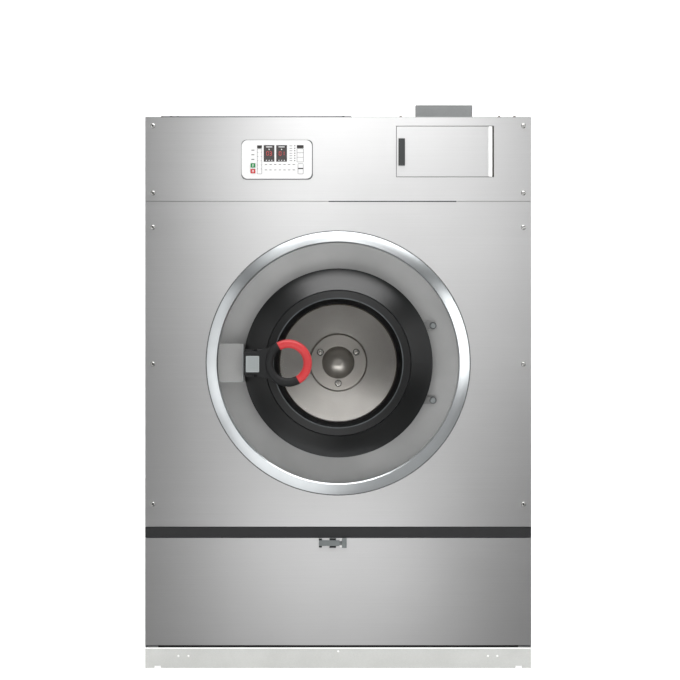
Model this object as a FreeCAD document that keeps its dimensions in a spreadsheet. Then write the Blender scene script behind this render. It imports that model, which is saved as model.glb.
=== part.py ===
import FreeCAD, Part
import math
import os
from types import SimpleNamespace

import Sketcher

# Front-loading washer-extractor with a stainless cabinet, in millimetres.
# +X is to the right of someone facing the machine, the front faces -Y, and +Z is up.
# The origin is on the floor, under the middle of the whole machine.

SIZES = {
    # Cabinet
    "cabinet_width": 1000.0,
    "cabinet_depth": 1100.0,
    "cabinet_height": 1428.0,
    "sheet": 2.0,
    "panel_return": 25.0,
    "panel_seam": 1.0,
    "control_panel_height": 216.0,
    "band_height": 27.0,
    "lower_panel_height": 277.5,
    "lower_panel_gap": 1.5,
    "lower_panel_relief": 6.0,
    "post_side": 50.0,
    "post_wall": 3.0,
    # Base frame of inward-facing channel
    "base_height": 54.0,
    "base_wall": 6.0,
    "base_flange": 50.0,
    "base_gap": 6.0,
    "anchor_hole_radius": 9.0,
    "anchor_inset": 28.0,
    "anchor_setback": 200.0,
    "notch_inset": 24.0,
    "notch_width": 17.0,
    "notch_height": 7.0,
    # Top
    "lid_inset": 44.0,
    "lid_right": 35.0,
    "lid_setback": 60.0,
    "lid_depth": 820.0,
    "lid_thickness": 2.6,
    "hood_inset": 223.5,
    "hood_width": 149.0,
    "hood_height": 36.0,
    "hood_setback": 260.0,
    "hood_depth": 150.0,
    "louvre_count": 3,
    "louvre_height": 4.0,
    "louvre_pitch": 8.0,
    "louvre_margin": 12.0,
    "vent_duct_radius": 38.0,
    "vent_duct_wall": 3.0,
    # Panel screws with domed heads
    "screw_radius": 6.5,
    "screw_height": 3.2,
    "screw_inset": 20.0,
    "screw_edge": 21.0,
    "screw_edge_lower": 58.0,
    "screw_edge_upper": 67.0,
    "side_screw_setback": 150.0,
    "side_screw_low": -215.7,
    "side_screw_middle": -119.7,
    "side_screw_high": 73.3,
    # Keypad
    "keypad_inset": 250.0,
    "keypad_width": 182.0,
    "keypad_bottom": 58.0,
    "keypad_height": 100.0,
    "keypad_thickness": 3.0,
    "keypad_corner": 15.5,
    "display_left": 57.0,
    "display_bottom": 44.0,
    "display_width": 28.0,
    "display_height": 43.0,
    "display_pitch": 32.4,
    "display_recess": 0.4,
    "key_left": 23.0,
    "key_width": 12.5,
    "key_height": 11.0,
    "key_pitch": 15.0,
    "stop_key_bottom": 14.0,
    "key_gap": 0.3,
    "key_proud": 1.0,
    "key_travel": 1.0,
    "key_rest": 0.2,
    "control_box_overhang": 50.0,
    "control_box_margin": 30.0,
    "control_box_depth": 60.0,
    # Soap dispenser
    "dispenser_inset": 350.0,
    "dispenser_width": 253.5,
    "dispenser_bottom": 62.0,
    "dispenser_height": 133.0,
    "dispenser_gap": 1.5,
    "dispenser_thickness": 3.0,
    "hopper_wall": 3.0,
    "hopper_depth": 240.0,
    "hinge_leaf_width": 9.5,
    "hinge_leaf_thickness": 0.8,
    "hinge_barrel_radius": 1.7,
    "hinge_wire_radius": 0.8,
    "hinge_knuckle_length": 8.0,
    "pull_inset": 6.0,
    "pull_width": 17.0,
    "pull_height": 70.5,
    "pull_bottom": 30.0,
    "pull_thickness": 7.0,
    "pull_hollow": 4.0,
    # Wash unit
    "drum_rise": 2.7,
    "recess_depth": 70.0,
    "tub_side_clearance": 60.0,
    "tub_wall": 5.0,
    "tub_length": 620.0,
    "tub_flange": 6.0,
    "tub_plate": 6.0,
    "neck_radius": 196.0,
    "neck_wall": 8.0,
    "seal_squeeze_gap": 0.3,
    "drum_clearance": 35.0,
    "drum_wall": 3.0,
    "drum_setback": 14.0,
    "mouth_radius": 190.0,
    "mouth_lip": 10.0,
    "lifter_half_base": 45.0,
    "lifter_half_top": 16.0,
    "lifter_nose_radius": 24.0,
    "lifter_height": 68.0,
    "lifter_margin": 25.0,
    "lifter_count": 3,
    "hub_cap_radius": 77.0,
    "hub_cap_thickness": 6.0,
    "hub_cap_bevel": 4.0,
    "hub_dome_radius": 43.0,
    "hub_dome_height": 22.0,
    "hub_dome_flat": 6.0,
    # Drive
    "shaft_radius": 40.0,
    "shaft_fit": 0.05,
    "spider_hub_radius": 75.0,
    "spider_thickness": 40.0,
    "spider_margin": 45.0,
    "spider_clearance": 14.0,
    "spider_root_half": 34.0,
    "spider_tip_half": 22.0,
    "spider_tip_radius": 26.4,
    "spider_arms": 3,
    "bearing_radius": 62.0,
    "bearing_width": 28.0,
    "housing_length": 165.0,
    "housing_flange_radius": 165.0,
    "housing_flange": 14.0,
    "housing_root_radius": 98.0,
    "housing_tip_radius": 82.0,
    "housing_rib": 12.0,
    "housing_ribs": 6,
    "pulley_setback": 32.0,
    "pulley_width": 50.0,
    "pulley_radius": 220.0,
    "pulley_rim": 15.0,
    "pulley_flange": 6.0,
    "pulley_flange_width": 4.0,
    "pulley_web": 10.0,
    "pulley_hub_radius": 62.0,
    "pulley_hole_radius": 42.0,
    "pulley_holes": 5,
    "motor_pulley_radius": 60.0,
    "motor_shaft_radius": 14.0,
    "motor_shaft_seat": 60.0,
    "belt_thickness": 6.0,
    "belt_clearance": 0.3,
    "motor_x": -260.0,
    "motor_height": 235.0,
    "motor_radius": 90.0,
    "motor_length": 250.0,
    "motor_gap": 20.0,
    "motor_foot_half": 80.0,
    "motor_foot_margin": 40.0,
    "terminal_half": 40.0,
    "terminal_height": 28.0,
    "bracket_thickness": 12.0,
    "bracket_half": 100.0,
    "beam_height": 60.0,
    "beam_depth": 80.0,
    "front_beam_setback": 170.0,
    "rear_beam_inset": 160.0,
    "motor_beam_inset": 15.0,
    "saddle_thickness": 20.0,
    "saddle_half": 300.0,
    "seat_gap": 0.2,
    # Water and power
    "drain_x": 150.0,
    "drain_inset": 270.0,
    "drain_height": 190.0,
    "drain_radius": 36.0,
    "drain_spigot_radius": 38.0,
    "drain_stub": 60.0,
    "drain_neck": 4.0,
    "drain_clearance": 1.0,
    "valve_half": 60.0,
    "valve_half_height": 55.0,
    "actuator_radius": 28.0,
    "actuator_length": 60.0,
    "inlet_inset": 280.0,
    "inlet_pitch": 110.0,
    "inlet_drop": 98.0,
    "inlet_radius": 13.2,
    "inlet_stub": 28.0,
    "inlet_neck": 3.0,
    "inlet_neck_radius": 12.0,
    "inlet_body": 50.0,
    "inlet_pipe_radius": 10.0,
    "fill_pipe_radius": 25.0,
    "fill_pipe_setback": 150.0,
    "gland_inset": 120.0,
    "gland_drop": 128.0,
    "gland_radius": 14.0,
    "gland_bore": 7.0,
    "gland_length": 25.0,
    "cover_half_width": 330.0,
    "cover_bottom": 420.0,
    "cover_height": 730.0,
    "cover_depth": 15.0,
    "cover_overlap": 30.0,
    # Trim ring round the door recess
    "trim_outer": 340.6,
    "trim_crest": 315.0,
    "trim_inner": 311.8,
    "trim_wall": 3.0,
    "trim_proud": 16.0,
    "trim_edge": 3.0,
    "trim_bulge": 150.0,
    "trim_nose": 3.0,
    "trim_clearance": 3.0,
    # Door
    "door_radius": 245.0,
    "door_rim": 6.0,
    "door_step_radius": 187.0,
    "door_step": 3.0,
    "door_cone_setback": 9.0,
    "door_groove_depth": 20.0,
    "door_lip_radius": 166.5,
    "door_groove_radius": 157.0,
    "door_sight_radius": 153.0,
    "door_proud": 30.0,
    "door_setback": 24.0,
    "door_shell": 5.0,
    "door_foot": 4.0,
    "door_foot_width": 12.0,
    "frame_radius": 212.0,
    "frame_thickness": 18.0,
    "glass_radius": 164.5,
    "glass_fit": 0.5,
    "glass_thickness": 6.0,
    "glass_lip": 10.0,
    "glass_dome": 30.0,
    "glass_flat": 40.0,
    "seal_radius": 211.0,
    "seal_width": 23.0,
    "neck_length": 40.0,
    # Door hinge
    "hinge_x": 230.0,
    "hinge_setback": 38.0,
    "hinge_pin_radius": 7.0,
    "knuckle_radius": 11.0,
    "lug_height": 18.0,
    "lug_center": 97.0,
    "hinge_half": 48.0,
    "lug_left": 212.0,
    "lug_strip": 16.0,
    "lug_foot": 10.0,
    "lug_arm": 16.0,
    "lug_bolt_x": 246.0,
    "lug_bolt_radius": 7.0,
    "lug_bolt_height": 4.0,
    "arm_left": 195.0,
    "arm_right": 226.0,
    "arm_half": 28.0,
    "arm_thickness": 6.0,
    "arm_web": 7.0,
    "run_gap": 0.3,
    # Door lock and handle
    "lock_right": -245.6,
    "lock_half_height": 50.0,
    "lock_setback": 2.0,
    "handle_x": -129.0,
    "handle_ring_radius": 50.0,
    "handle_tube": 11.25,
    "handle_standoff": 48.0,
    "lever_left": -244.0,
    "lever_face": 59.0,
    "lever_back": 33.0,
    "lever_neck_x": -184.0,
    "lever_shoulder": -210.0,
    "lever_face_end": -201.0,
    "lever_half": 36.0,
    "lever_neck_half": 39.0,
    "lever_tip_half": 48.0,
    "lever_tip_back": 32.0,
    "lever_ring_face": 54.0,
    "lever_edge": 3.0,
    "cheek": 5.7,
    "cheek_right": -219.0,
    "cheek_face": 57.0,
    "cheek_left": -240.0,
    "latch_right": -192.0,
    "latch_face": 24.0,
    "pivot_x": -228.0,
    "pivot_standoff": 45.0,
    "pivot_radius": 4.0,
    # Lower panel pivots and latch
    "tilt_setback": 10.0,
    "tilt_rise": 10.0,
    "tilt_pin_radius": 4.0,
    "tilt_tab": 6.0,
    "tilt_tab_gap": 4.0,
    "tilt_tab_front": 4.0,
    "tilt_tab_low": 6.0,
    "tilt_tab_high": 10.0,
    "latch_post_left": -22.5,
    "latch_post_right": -5.7,
    "latch_spine_half": 5.0,
    "latch_plate_right": 22.0,
    "latch_plate_drop": 0.5,
    "latch_plate_height": 25.0,
    "latch_plate_thickness": 6.0,
    "keeper_left": 10.0,
    "keeper_proud": 6.0,
    "toggle_left": -50.0,
    "toggle_half": 6.2,
    "toggle_pivot": -2.2,
    "toggle_thickness": 7.0,
    "toggle_pin_radius": 3.0,
}


class Size:
    """A length that carries the sheet expression it was worked out with."""

    def __init__(self, text, value):
        self.text = text
        self.value = value

    def joined(self, sign, other, value):
        return Size(f"({self.text} {sign} {other.text})", value)

    def __add__(self, other):
        other = as_size(other)
        return self.joined("+", other, self.value + other.value)

    def __sub__(self, other):
        other = as_size(other)
        return self.joined("-", other, self.value - other.value)

    def __mul__(self, other):
        other = as_size(other)
        return self.joined("*", other, self.value * other.value)

    def __truediv__(self, other):
        other = as_size(other)
        return self.joined("/", other, self.value / other.value)

    def __rsub__(self, other):
        return as_size(other) - self

    def __neg__(self):
        return Size(f"(-{self.text})", -self.value)

    __radd__ = __add__
    __rmul__ = __mul__


def as_size(number):
    """Let a plain number stand in for a size."""
    if isinstance(number, Size):
        return number
    return Size(repr(number), float(number))


def root(size):
    """Square root of a size."""
    return Size(f"sqrt({size.text})", math.sqrt(size.value))


def arcsine(size):
    """Angle in degrees whose sine is the given ratio."""
    return Size(f"asin({size.text})", math.degrees(math.asin(size.value)))


doc = FreeCAD.newDocument("washer_extractor")
sheet = doc.addObject("Spreadsheet::Sheet", "dims")
for row, (alias, number) in enumerate(SIZES.items(), start=1):
    sheet.set(f"A{row}", str(number))
    sheet.setAlias(f"A{row}", alias)
doc.recompute()
dim = SimpleNamespace(**{name: Size(f"dims.{name}", value) for name, value in SIZES.items()})

# Places that many pieces share.
half_width = dim.cabinet_width / 2
front_reach = dim.handle_standoff + dim.handle_tube
front = (front_reach - dim.cabinet_depth - dim.drain_stub) / 2
back = front + dim.cabinet_depth
under_top = dim.cabinet_height - dim.sheet
post_front = front + dim.panel_return
lower_bottom = dim.base_height + dim.base_gap
lower_top = lower_bottom + dim.lower_panel_height
band_bottom = lower_top + dim.lower_panel_gap
band_top = band_bottom + dim.band_height
control_bottom = under_top - dim.control_panel_height
center_z = (band_top + control_bottom) / 2 + dim.drum_rise
tub_radius = half_width - dim.tub_side_clearance
drum_radius = tub_radius - dim.drum_clearance
recess = front + dim.recess_depth
tub_front_back = recess + dim.tub_plate
tub_back = recess + dim.tub_length
drum_front = tub_front_back + dim.drum_setback
drum_back = tub_back - dim.tub_plate - dim.spider_clearance - dim.spider_thickness
drum_floor = drum_back - dim.drum_wall
door_face = front - dim.door_proud
door_back = front + dim.door_setback
frame_front = door_back - dim.frame_thickness
glass_back = door_back - dim.glass_lip
glass_front = glass_back - dim.glass_thickness
neck_front = recess - dim.neck_length
housing_back = tub_back + dim.housing_length
rear_beam = tub_back - dim.rear_beam_inset
motor_beam = housing_back - dim.motor_beam_inset
inlet_z = dim.cabinet_height - dim.inlet_drop
gland_z = dim.cabinet_height - dim.gland_drop
pulley_front = housing_back + dim.pulley_setback
pulley_back = pulley_front + dim.pulley_width
hinge_y = front + dim.hinge_setback
ring_wide = dim.handle_ring_radius - dim.handle_tube
dispenser_z = control_bottom + dim.dispenser_bottom
dispenser_left = half_width - dim.dispenser_inset
dispenser_right = dispenser_left + dim.dispenser_width
keypad_left = dim.keypad_inset - half_width
inlet_left = half_width - dim.inlet_inset
gland_x = dim.gland_inset - half_width
hood_center = half_width - dim.hood_inset
cone_front_radius = dim.door_step_radius + dim.door_step
cone_front = door_face + dim.door_cone_setback
cone_back = door_back - dim.door_rim

# Local Z turned on to each of the three directions, and on to the front.
TURNS = {
    "x": FreeCAD.Rotation(FreeCAD.Vector(0, 1, 0), 90),
    "y": FreeCAD.Rotation(FreeCAD.Vector(1, 0, 0), -90),
    "z": FreeCAD.Rotation(),
    "front": FreeCAD.Rotation(FreeCAD.Vector(1, 0, 0), 90),
}

# Angle of the ring handle, in degrees, at which its coloured half starts.
GRIP_START = 240
HALF_TURN = 180

nodes = {}


def ordered(*sizes):
    """Sizes from the lowest to the highest."""
    return sorted(sizes, key=lambda size: size.value)


def keep(label, item):
    """Give a finished piece its name and put it on the list of pieces."""
    item.Label = label
    nodes[label] = item
    return item


def bind(item, **sizes):
    """Tie properties of an object to the sheet."""
    for name, size in sizes.items():
        item.setExpression(name, as_size(size).text)


def place(item, x, y, z, turn=FreeCAD.Rotation()):
    """Turn an object and tie its position to the sheet."""
    item.Placement = FreeCAD.Placement(FreeCAD.Vector(), turn)
    for axis, size in zip("xyz", (x, y, z)):
        item.setExpression(f"Placement.Base.{axis}", as_size(size).text)


def box(x, y, z):
    """Box between three (low, high) pairs."""
    item = doc.addObject("Part::Box", "block")
    bind(item, Length=x[1] - x[0], Width=y[1] - y[0], Height=z[1] - z[0])
    place(item, x[0], y[0], z[0])
    return item


def rod(axis, across, span, radius):
    """Cylinder along an axis, through the two other coordinates, between two ends."""
    item = doc.addObject("Part::Cylinder", "rod")
    bind(item, Radius=radius, Height=span[1] - span[0])
    corners = {
        "x": (span[0], *across),
        "y": (across[0], span[0], across[1]),
        "z": (*across, span[0]),
    }
    place(item, *corners[axis], TURNS[axis])
    return item


def cone(across, span, radii):
    """Frustum along Y between two ends with their radii."""
    item = doc.addObject("Part::Cone", "frustum")
    bind(item, Radius1=radii[0], Radius2=radii[1], Height=span[1] - span[0])
    place(item, across[0], span[0], across[1], TURNS["y"])
    return item


def ball(radius, height):
    """Radius of the sphere whose cap has a given base radius and height."""
    return (radius * radius + height * height) / (2 * height)


def dome(x, y, z, radius, height, turn):
    """Spherical cap standing on a face."""
    ball_radius = ball(radius, height)
    sunk = ball_radius - height
    item = doc.addObject("Part::Sphere", "dome")
    bind(item, Radius=ball_radius, Angle1=arcsine(sunk / ball_radius))
    reach = turn.multVec(FreeCAD.Vector(0, 0, 1))
    place(item, x - sunk * reach.x, y - sunk * reach.y, z - sunk * reach.z, turn)
    return item


def join(*items):
    """Weld pieces into one solid."""
    item = doc.addObject("Part::MultiFuse", "welded")
    item.Shapes = list(items)
    item.Refine = True
    return item


def group(*items):
    """Separate solids that share one name."""
    item = doc.addObject("Part::Compound", "set")
    item.Links = list(items)
    return item


def cut(base, *tools):
    """Take one or more tools away from a base."""
    item = doc.addObject("Part::Cut", "trimmed")
    item.Base = base
    item.Tool = tools[0] if len(tools) == 1 else join(*tools)
    item.Refine = True
    return item


def common(base, tool):
    """What two solids share."""
    item = doc.addObject("Part::Common", "shared")
    item.Base = base
    item.Tool = tool
    item.Refine = True
    return item


def bend(radius, side):
    """Mark the stretch after a corner as an arc that bulges left (+1) or right (-1)."""
    return (radius, side)


def arc_through(start, end, radius, side):
    """Arc of a radius between two points, drawn counter-clockwise."""
    chord = end - start
    half = chord.Length / 2
    rise = radius - math.sqrt(radius * radius - half * half)
    left = FreeCAD.Vector(-chord.y, chord.x, 0).normalize()
    middle = (start + end) * 0.5 + left * (side * rise)
    return Part.Arc(end, middle, start) if side > 0 else Part.Arc(start, middle, end)


def draw(sketch, corners):
    """Closed outline of lines and arcs whose corners are tied to the sheet."""
    points = [FreeCAD.Vector(as_size(c[0]).value, as_size(c[1]).value, 0) for c in corners]
    count = len(corners)
    first = sketch.GeometryCount
    for index, corner in enumerate(corners):
        start = points[index]
        end = points[(index + 1) % count]
        if len(corner) == 3:
            radius, side = corner[2]
            sketch.addGeometry(arc_through(start, end, radius.value, side), False)
        else:
            sketch.addGeometry(Part.LineSegment(start, end), False)

    def end_numbers(index):
        begins = (sketch.Geometry[first + index].StartPoint - points[index]).Length < 1e-4
        return (1, 2) if begins else (2, 1)

    ends = [end_numbers(index) for index in range(count)]
    for index, corner in enumerate(corners):
        after = (index + 1) % count
        here = first + index
        sketch.addConstraint(
            Sketcher.Constraint("Coincident", here, ends[index][1], first + after, ends[after][0]))
        for kind, size in (("DistanceX", corner[0]), ("DistanceY", corner[1])):
            size = as_size(size)
            number = sketch.addConstraint(
                Sketcher.Constraint(kind, -1, 1, here, ends[index][0], size.value))
            sketch.setExpression(f"Constraints[{number}]", size.text)
        if len(corner) == 3:
            number = sketch.addConstraint(Sketcher.Constraint("Radius", here, corner[2][0].value))
            sketch.setExpression(f"Constraints[{number}]", corner[2][0].text)


def draw_circle(sketch, x, y, radius):
    """Circle whose centre and radius are tied to the sheet."""
    number = sketch.addGeometry(
        Part.Circle(FreeCAD.Vector(x.value, y.value, 0), FreeCAD.Vector(0, 0, 1), radius.value), False)
    for kind, size in (("DistanceX", x), ("DistanceY", y)):
        index = sketch.addConstraint(Sketcher.Constraint(kind, -1, 1, number, 3, size.value))
        sketch.setExpression(f"Constraints[{index}]", size.text)
    index = sketch.addConstraint(Sketcher.Constraint("Radius", number, radius.value))
    sketch.setExpression(f"Constraints[{index}]", radius.text)


def sketch_on(body, plane, offset=None):
    """Empty sketch on one of the body's own planes."""
    sketch = body.newObject("Sketcher::SketchObject", "outline")
    planes = {item.Role: item for item in body.Origin.OriginFeatures}
    sketch.AttachmentSupport = [(planes[plane], "")]
    sketch.MapMode = "FlatFace"
    if offset is not None:
        sketch.setExpression("AttachmentOffset.Base.z", offset.text)
    return sketch


def turn_in(body, corners):
    """Revolve a (radius, y) section about the body's Y axis."""
    sketch = sketch_on(body, "XY_Plane")
    draw(sketch, corners)
    turned = body.newObject("PartDesign::Revolution", "turned")
    turned.Profile = sketch
    turned.ReferenceAxis = (sketch, ["V_Axis"])
    turned.Angle = 360
    return turned


def new_body(x=0, z=0):
    """Body whose Y axis passes through a place in the front view."""
    body = doc.addObject("PartDesign::Body", "piece")
    place(body, x, 0, z)
    return body


def ring(corners, x=0, z=center_z):
    """Piece turned about a front-to-back axis, from its (radius, y) section."""
    body = new_body(x, z)
    turn_in(body, corners)
    return body


def plate_in(body, corners, span, *holes):
    """Pad an (x, z) outline between two depths, with more outlines as holes."""
    sketch = sketch_on(body, "XZ_Plane", -span[1])
    for outline in (corners, *holes):
        draw(sketch, outline)
    pad = body.newObject("PartDesign::Pad", "pad")
    pad.Profile = sketch
    pad.setExpression("Length", (span[1] - span[0]).text)
    return pad


def plate(corners, span, *holes, z=0):
    """Piece with an (x, z) outline between two depths."""
    body = new_body(0, z)
    plate_in(body, corners, span, *holes)
    return body


def rectangle(x, z):
    """Outline between two (low, high) pairs."""
    return [(x[0], z[0]), (x[1], z[0]), (x[1], z[1]), (x[0], z[1])]


def round_edges(body, feature, chosen, radius):
    """Fillet the edges of a body's feature that a test picks out."""
    doc.recompute()
    edges = enumerate(feature.Shape.Edges, start=1)
    names = [f"Edge{number}" for number, edge in edges if chosen(edge)]
    fillet = body.newObject("PartDesign::Fillet", "rounded")
    fillet.Base = (feature, names)
    fillet.setExpression("Radius", radius.text)
    return fillet


def runs_deep(edge):
    """Whether a straight edge runs front to back."""
    box_of_edge = edge.BoundBox
    return box_of_edge.YLength > 0.99 * edge.Length


def repeat(body, feature, axis, copies):
    """Copies of a feature round an axis of its sketch."""
    pattern = body.newObject("PartDesign::PolarPattern", "copies")
    pattern.Originals = [feature]
    pattern.Axis = axis
    pattern.Angle = 360
    pattern.setExpression("Occurrences", copies.text)
    body.Tip = pattern
    return pattern


def tub_space():
    """Room that the round tub takes up, with a small gap for what sits on it."""
    return rod("y", (as_size(0), center_z), (front, back), tub_radius + dim.seat_gap)


def pan(z, depth, floor=True):
    """Sheet panel across the whole front with its edges folded back."""
    outer = box((-half_width, half_width), (front, front + depth), z)
    bottom = z[0] + dim.sheet if floor else z[0] - dim.sheet
    inside = half_width - dim.sheet
    hollow = box((-inside, inside), (front + dim.sheet, front + depth + dim.sheet),
                 (bottom, z[1] - dim.sheet))
    return cut(outer, hollow)


def build_base():
    """Base of welded channel with anchor holes, and the frame that stands on it."""
    depth = (front, back)
    outer = box((-half_width, half_width), depth, (as_size(0), dim.base_height))
    inside = half_width - dim.base_flange
    middle = box((-inside, inside), (front + dim.base_flange, back - dim.base_flange),
                 (-dim.base_wall, dim.base_height + dim.base_wall))
    web = half_width - dim.base_wall
    channel = box((-web, web), (front + dim.base_wall, back - dim.base_wall),
                  (dim.base_wall, dim.base_height - dim.base_wall))
    cuts = [middle, channel]
    for side in (-1, 1):
        hole_x = side * (half_width - dim.anchor_inset)
        for hole_y in (front + dim.anchor_setback, back - dim.anchor_setback):
            cuts.append(rod("z", (hole_x, hole_y), (-dim.base_wall, dim.base_height + dim.base_wall),
                            dim.anchor_hole_radius))
        middle_x = side * (half_width - dim.notch_inset - dim.notch_width / 2)
        half = dim.notch_width / 2
        cuts.append(box((middle_x - half, middle_x + half),
                        (front - dim.base_wall, front + dim.base_wall * 2),
                        (-dim.base_wall, dim.notch_height)))
    keep("base_frame", cut(outer, *cuts))

    posts = []
    inner = half_width - dim.sheet
    heights = (dim.base_height, under_top)
    for side in (-1, 1):
        ends = ordered(side * inner, side * (inner - dim.post_side))
        hollow = (ends[0] + dim.post_wall, ends[1] - dim.post_wall)
        for start in (post_front, back - dim.sheet - dim.post_side):
            stop = start + dim.post_side
            tube = box(ends, (start, stop), heights)
            bore = box(hollow, (start + dim.post_wall, stop - dim.post_wall), heights)
            posts.append(cut(tube, bore))
    keep("frame_posts", group(*posts))

    beam_top = dim.base_height + dim.beam_height
    beams = []
    for middle_y, has_saddle in ((front + dim.front_beam_setback, True), (rear_beam, True),
                                 (motor_beam, False)):
        beam = box((-inner, inner), (middle_y - dim.beam_depth / 2, middle_y + dim.beam_depth / 2),
                   (dim.base_height, beam_top))
        if has_saddle:
            half = dim.saddle_thickness / 2
            saddle = box((-dim.saddle_half, dim.saddle_half), (middle_y - half, middle_y + half),
                         (beam_top, center_z))
            passage = rod("y", (dim.drain_x, dim.drain_height), (front, back),
                          dim.drain_radius + dim.drain_clearance)
            beam = cut(join(beam, saddle), tub_space(), passage)
        beams.append(beam)
    keep("tub_cradle", group(*beams))


def build_cabinet():
    """Outer panels, top pieces and the screws that show."""
    sides = (post_front, back - dim.sheet)
    heights = (dim.base_height, under_top)
    inner = half_width - dim.sheet
    keep("left_side_panel", box((-half_width, -inner), sides, heights))
    keep("right_side_panel", box((inner, half_width), sides, heights))
    lid_front = front + dim.lid_setback
    keep("top_lid", box((dim.lid_inset - half_width, dim.lid_right), (lid_front, lid_front + dim.lid_depth),
                        (dim.cabinet_height, dim.cabinet_height + dim.lid_thickness)))

    hood_front = front + dim.hood_setback
    hood_back = hood_front + dim.hood_depth
    hood_x = (hood_center - dim.hood_width / 2, hood_center + dim.hood_width / 2)
    hood = box(hood_x, (hood_front, hood_back),
               (dim.cabinet_height, dim.cabinet_height + dim.hood_height))
    slots = []
    for number in range(SIZES["louvre_count"]):
        low = dim.cabinet_height + dim.louvre_pitch * (number + 1) - dim.louvre_height / 2
        slots.append(box((hood_x[0] + dim.louvre_margin, hood_x[1] - dim.louvre_margin),
                         (hood_back - dim.sheet * 2, hood_back + dim.sheet),
                         (low, low + dim.louvre_height)))
    wall = dim.sheet
    inside = box((hood_x[0] + wall, hood_x[1] - wall), (hood_front + wall, hood_back - wall),
                 (dim.cabinet_height - wall, dim.cabinet_height + dim.hood_height - wall))
    keep("vent_hood", cut(hood, inside, *slots))

    duct_spot = (hood_center, hood_front + dim.hood_depth / 2)
    duct_span = (center_z, dim.cabinet_height)
    duct = rod("z", duct_spot, duct_span, dim.vent_duct_radius)
    duct_bore = rod("z", duct_spot, duct_span, dim.vent_duct_radius - dim.vent_duct_wall)
    keep("vent_duct", cut(duct, duct_bore, tub_space()))
    cover = box((-half_width, half_width), (front, back), (under_top, dim.cabinet_height))
    duct_hole = rod("z", duct_spot, (center_z, dim.cabinet_height + wall),
                    dim.vent_duct_radius + dim.seat_gap)
    keep("top_cover", cut(cover, duct_hole))

    hole_radius = dim.trim_inner + dim.trim_wall + dim.trim_clearance
    hole = rod("y", (as_size(0), center_z), (front - dim.sheet, post_front), hole_radius)
    seam = dim.panel_seam
    keep("front_panel", cut(pan((band_top + seam, control_bottom - seam), dim.panel_return), hole))
    keep("band_strip", pan((band_bottom, band_top), dim.panel_return))
    opening = box((dispenser_left, dispenser_right), (front - dim.sheet, post_front),
                  (dispenser_z, dispenser_z + dim.dispenser_height))
    keep("control_panel", cut(pan((control_bottom, under_top), dim.panel_return), opening))

    front_panel_low = band_top + seam
    front_panel_high = control_bottom - seam
    levels = (under_top - dim.screw_edge, control_bottom + dim.screw_edge,
              front_panel_high - dim.screw_edge_upper, (front_panel_low + front_panel_high) / 2,
              front_panel_low + dim.screw_edge_lower)
    heads = []
    for level in levels:
        for side in (-1, 1):
            heads.append(dome(side * (half_width - dim.screw_inset), front, level,
                              dim.screw_radius, dim.screw_height, TURNS["front"]))
    for level in (dim.side_screw_low, dim.side_screw_middle, dim.side_screw_high):
        heads.append(dome(half_width, front + dim.side_screw_setback, center_z + level,
                          dim.screw_radius, dim.screw_height, TURNS["x"]))
    keep("panel_screws", group(*heads))


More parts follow.
